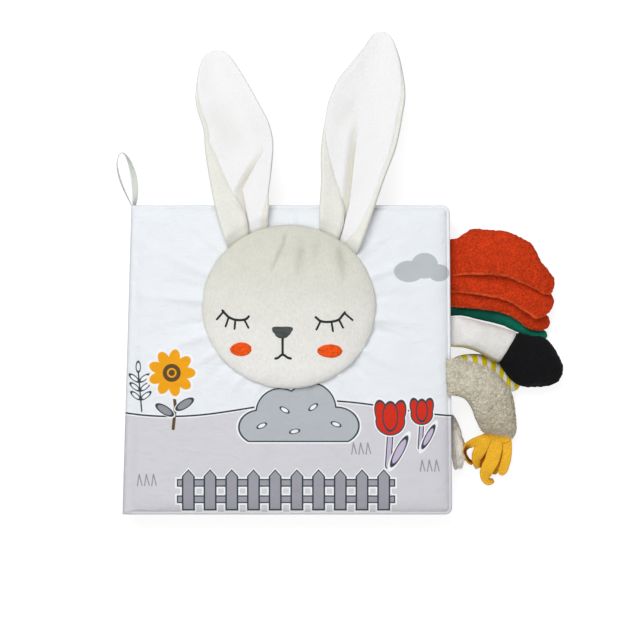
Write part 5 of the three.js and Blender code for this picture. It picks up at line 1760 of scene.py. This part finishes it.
def tassel():
    strips = [swept_strip(rows, FELT, SHADED.get(name, 0.0)) for name, rows in STRIPS.items()]
    strips.append(swept_strip(TASSEL_ROOT, ROOT_THICKNESS))
    skins, insides = zip(*strips)
    made = piece("tassel_felt", *joined(skins), materials["felt"], "yellow_felt")
    # painted shade of the felt
    keep_value(made, "inside", np.concatenate(insides))
    furred(made, 51, size=1.2, depth=0.06, clump=0.12)
    attach(made, ["beige_tail", "tassel"], TASSEL_FALL)
    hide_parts("beige_tail_tassel")


# Hanging ribbon, as rows like the tassel's

RIBBON = [(133.6, 207.5, 23, 62, 2.0), (134.9, 198, 23, 40, 2.2), (135.0, 188, 23, 30, 2.4),
          (133.6, 176, 23, 40, 2.6), (130.6, 165.5, 23, 60, 2.8), (127, 157.4, 23, 76, 3.0),
          (122.4, 152.8, 23, 84, 3.0), (118.8, 155.4, 23, 84, 3.0), (117.2, 162.8, 23, 80, 3.0),
          (118.4, 172.8, 23, 76, 3.0), (123, 187, 23, 76, 3.0), (132.2, 206.5, 23, 84, 2.4)]
RIBBON_THICKNESS = 0.7


def ribbon():
    loop, _ = swept_strip(RIBBON, RIBBON_THICKNESS)
    made = piece("ribbon_loop", *loop, materials["ribbon"], "ribbon")
    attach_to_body(made, "ribbon_loop")
    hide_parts("hanging_ribbon")


# Stage

FLOOR_HALF = 4000
FLOOR_HEIGHT = -0.3
FLOOR_COLOUR = (0.35, 0.35, 0.35, 1)
FLOOR_GLOW = 0.8
# Each light's place, size and energy
LIGHTS = {"key": ((-300, 780, 1350), 1000, 15.6), "fill": ((150, -1000, 1500), 1400, 7.2)}
LIT_PLACE = (0, 30, 20)
SKY_LIGHT = 0.37


def floor_material():
    """Grey for the lights, and white for the camera's rays and for reflections."""
    made = Shader("floor", roughness=1)
    made.surface.inputs["Specular IOR Level"].default_value = 0
    path = made.node("ShaderNodeLightPath").outputs
    seen = made.math("MAXIMUM", path["Is Camera Ray"], path["Is Glossy Ray"])
    seen = made.math("MAXIMUM", seen, path["Is Transmission Ray"])
    glow = made.node("ShaderNodeEmission")
    made.put(glow.inputs["Strength"], made.math("MULTIPLY", seen, FLOOR_GLOW))
    both = made.node("ShaderNodeAddShader")
    made.put(both.inputs[0], made.surface.outputs[0])
    made.put(both.inputs[1], glow.outputs[0])
    made.put(made.tree.nodes["Material Output"].inputs["Surface"], both.outputs[0])
    return made.colour(FLOOR_COLOUR)


def stage():
    square = [(-1, -1), (1, -1), (1, 1), (-1, 1)]
    points = [(x * FLOOR_HALF, y * FLOOR_HALF, FLOOR_HEIGHT) for x, y in square]
    mesh = bpy.data.meshes.new("floor")
    mesh.from_pydata((np.array(points) * MM).tolist(), [], [(0, 1, 2, 3)])
    mesh.materials.append(floor_material())
    linked("floor", mesh)


def lighting():
    for name, (place, size, energy) in LIGHTS.items():
        data = bpy.data.lights.new(name, "AREA")
        data.shape = "DISK"
        data.size = size * MM
        data.energy = energy
        lamp = linked(name, data)
        lamp.location = Vector(place) * MM
        lamp.rotation_euler = (Vector(LIT_PLACE) * MM - lamp.location).to_track_quat("-Z", "Y").to_euler()
    world = bpy.data.worlds.new("studio")
    world.use_nodes = True
    background = world.node_tree.nodes["Background"]
    background.inputs["Color"].default_value = (1, 1, 1, 1)
    background.inputs["Strength"].default_value = SKY_LIGHT
    bpy.context.scene.world = world
    bpy.context.scene.view_settings.view_transform = "Standard"


covers()
for number in (1, 2, 3):
    leaf(number)
upright_strip("spine_cloth", "spine_outer_fabric", 0.4, "front_print", "cover_print", 61)
upright_strip("spine_tape", "spine_binding_tape", 1.3, "tape", "binding_tape", 62)
face()
embroidery()
ears()
tails()
tassel()
ribbon()
stage()
lighting()
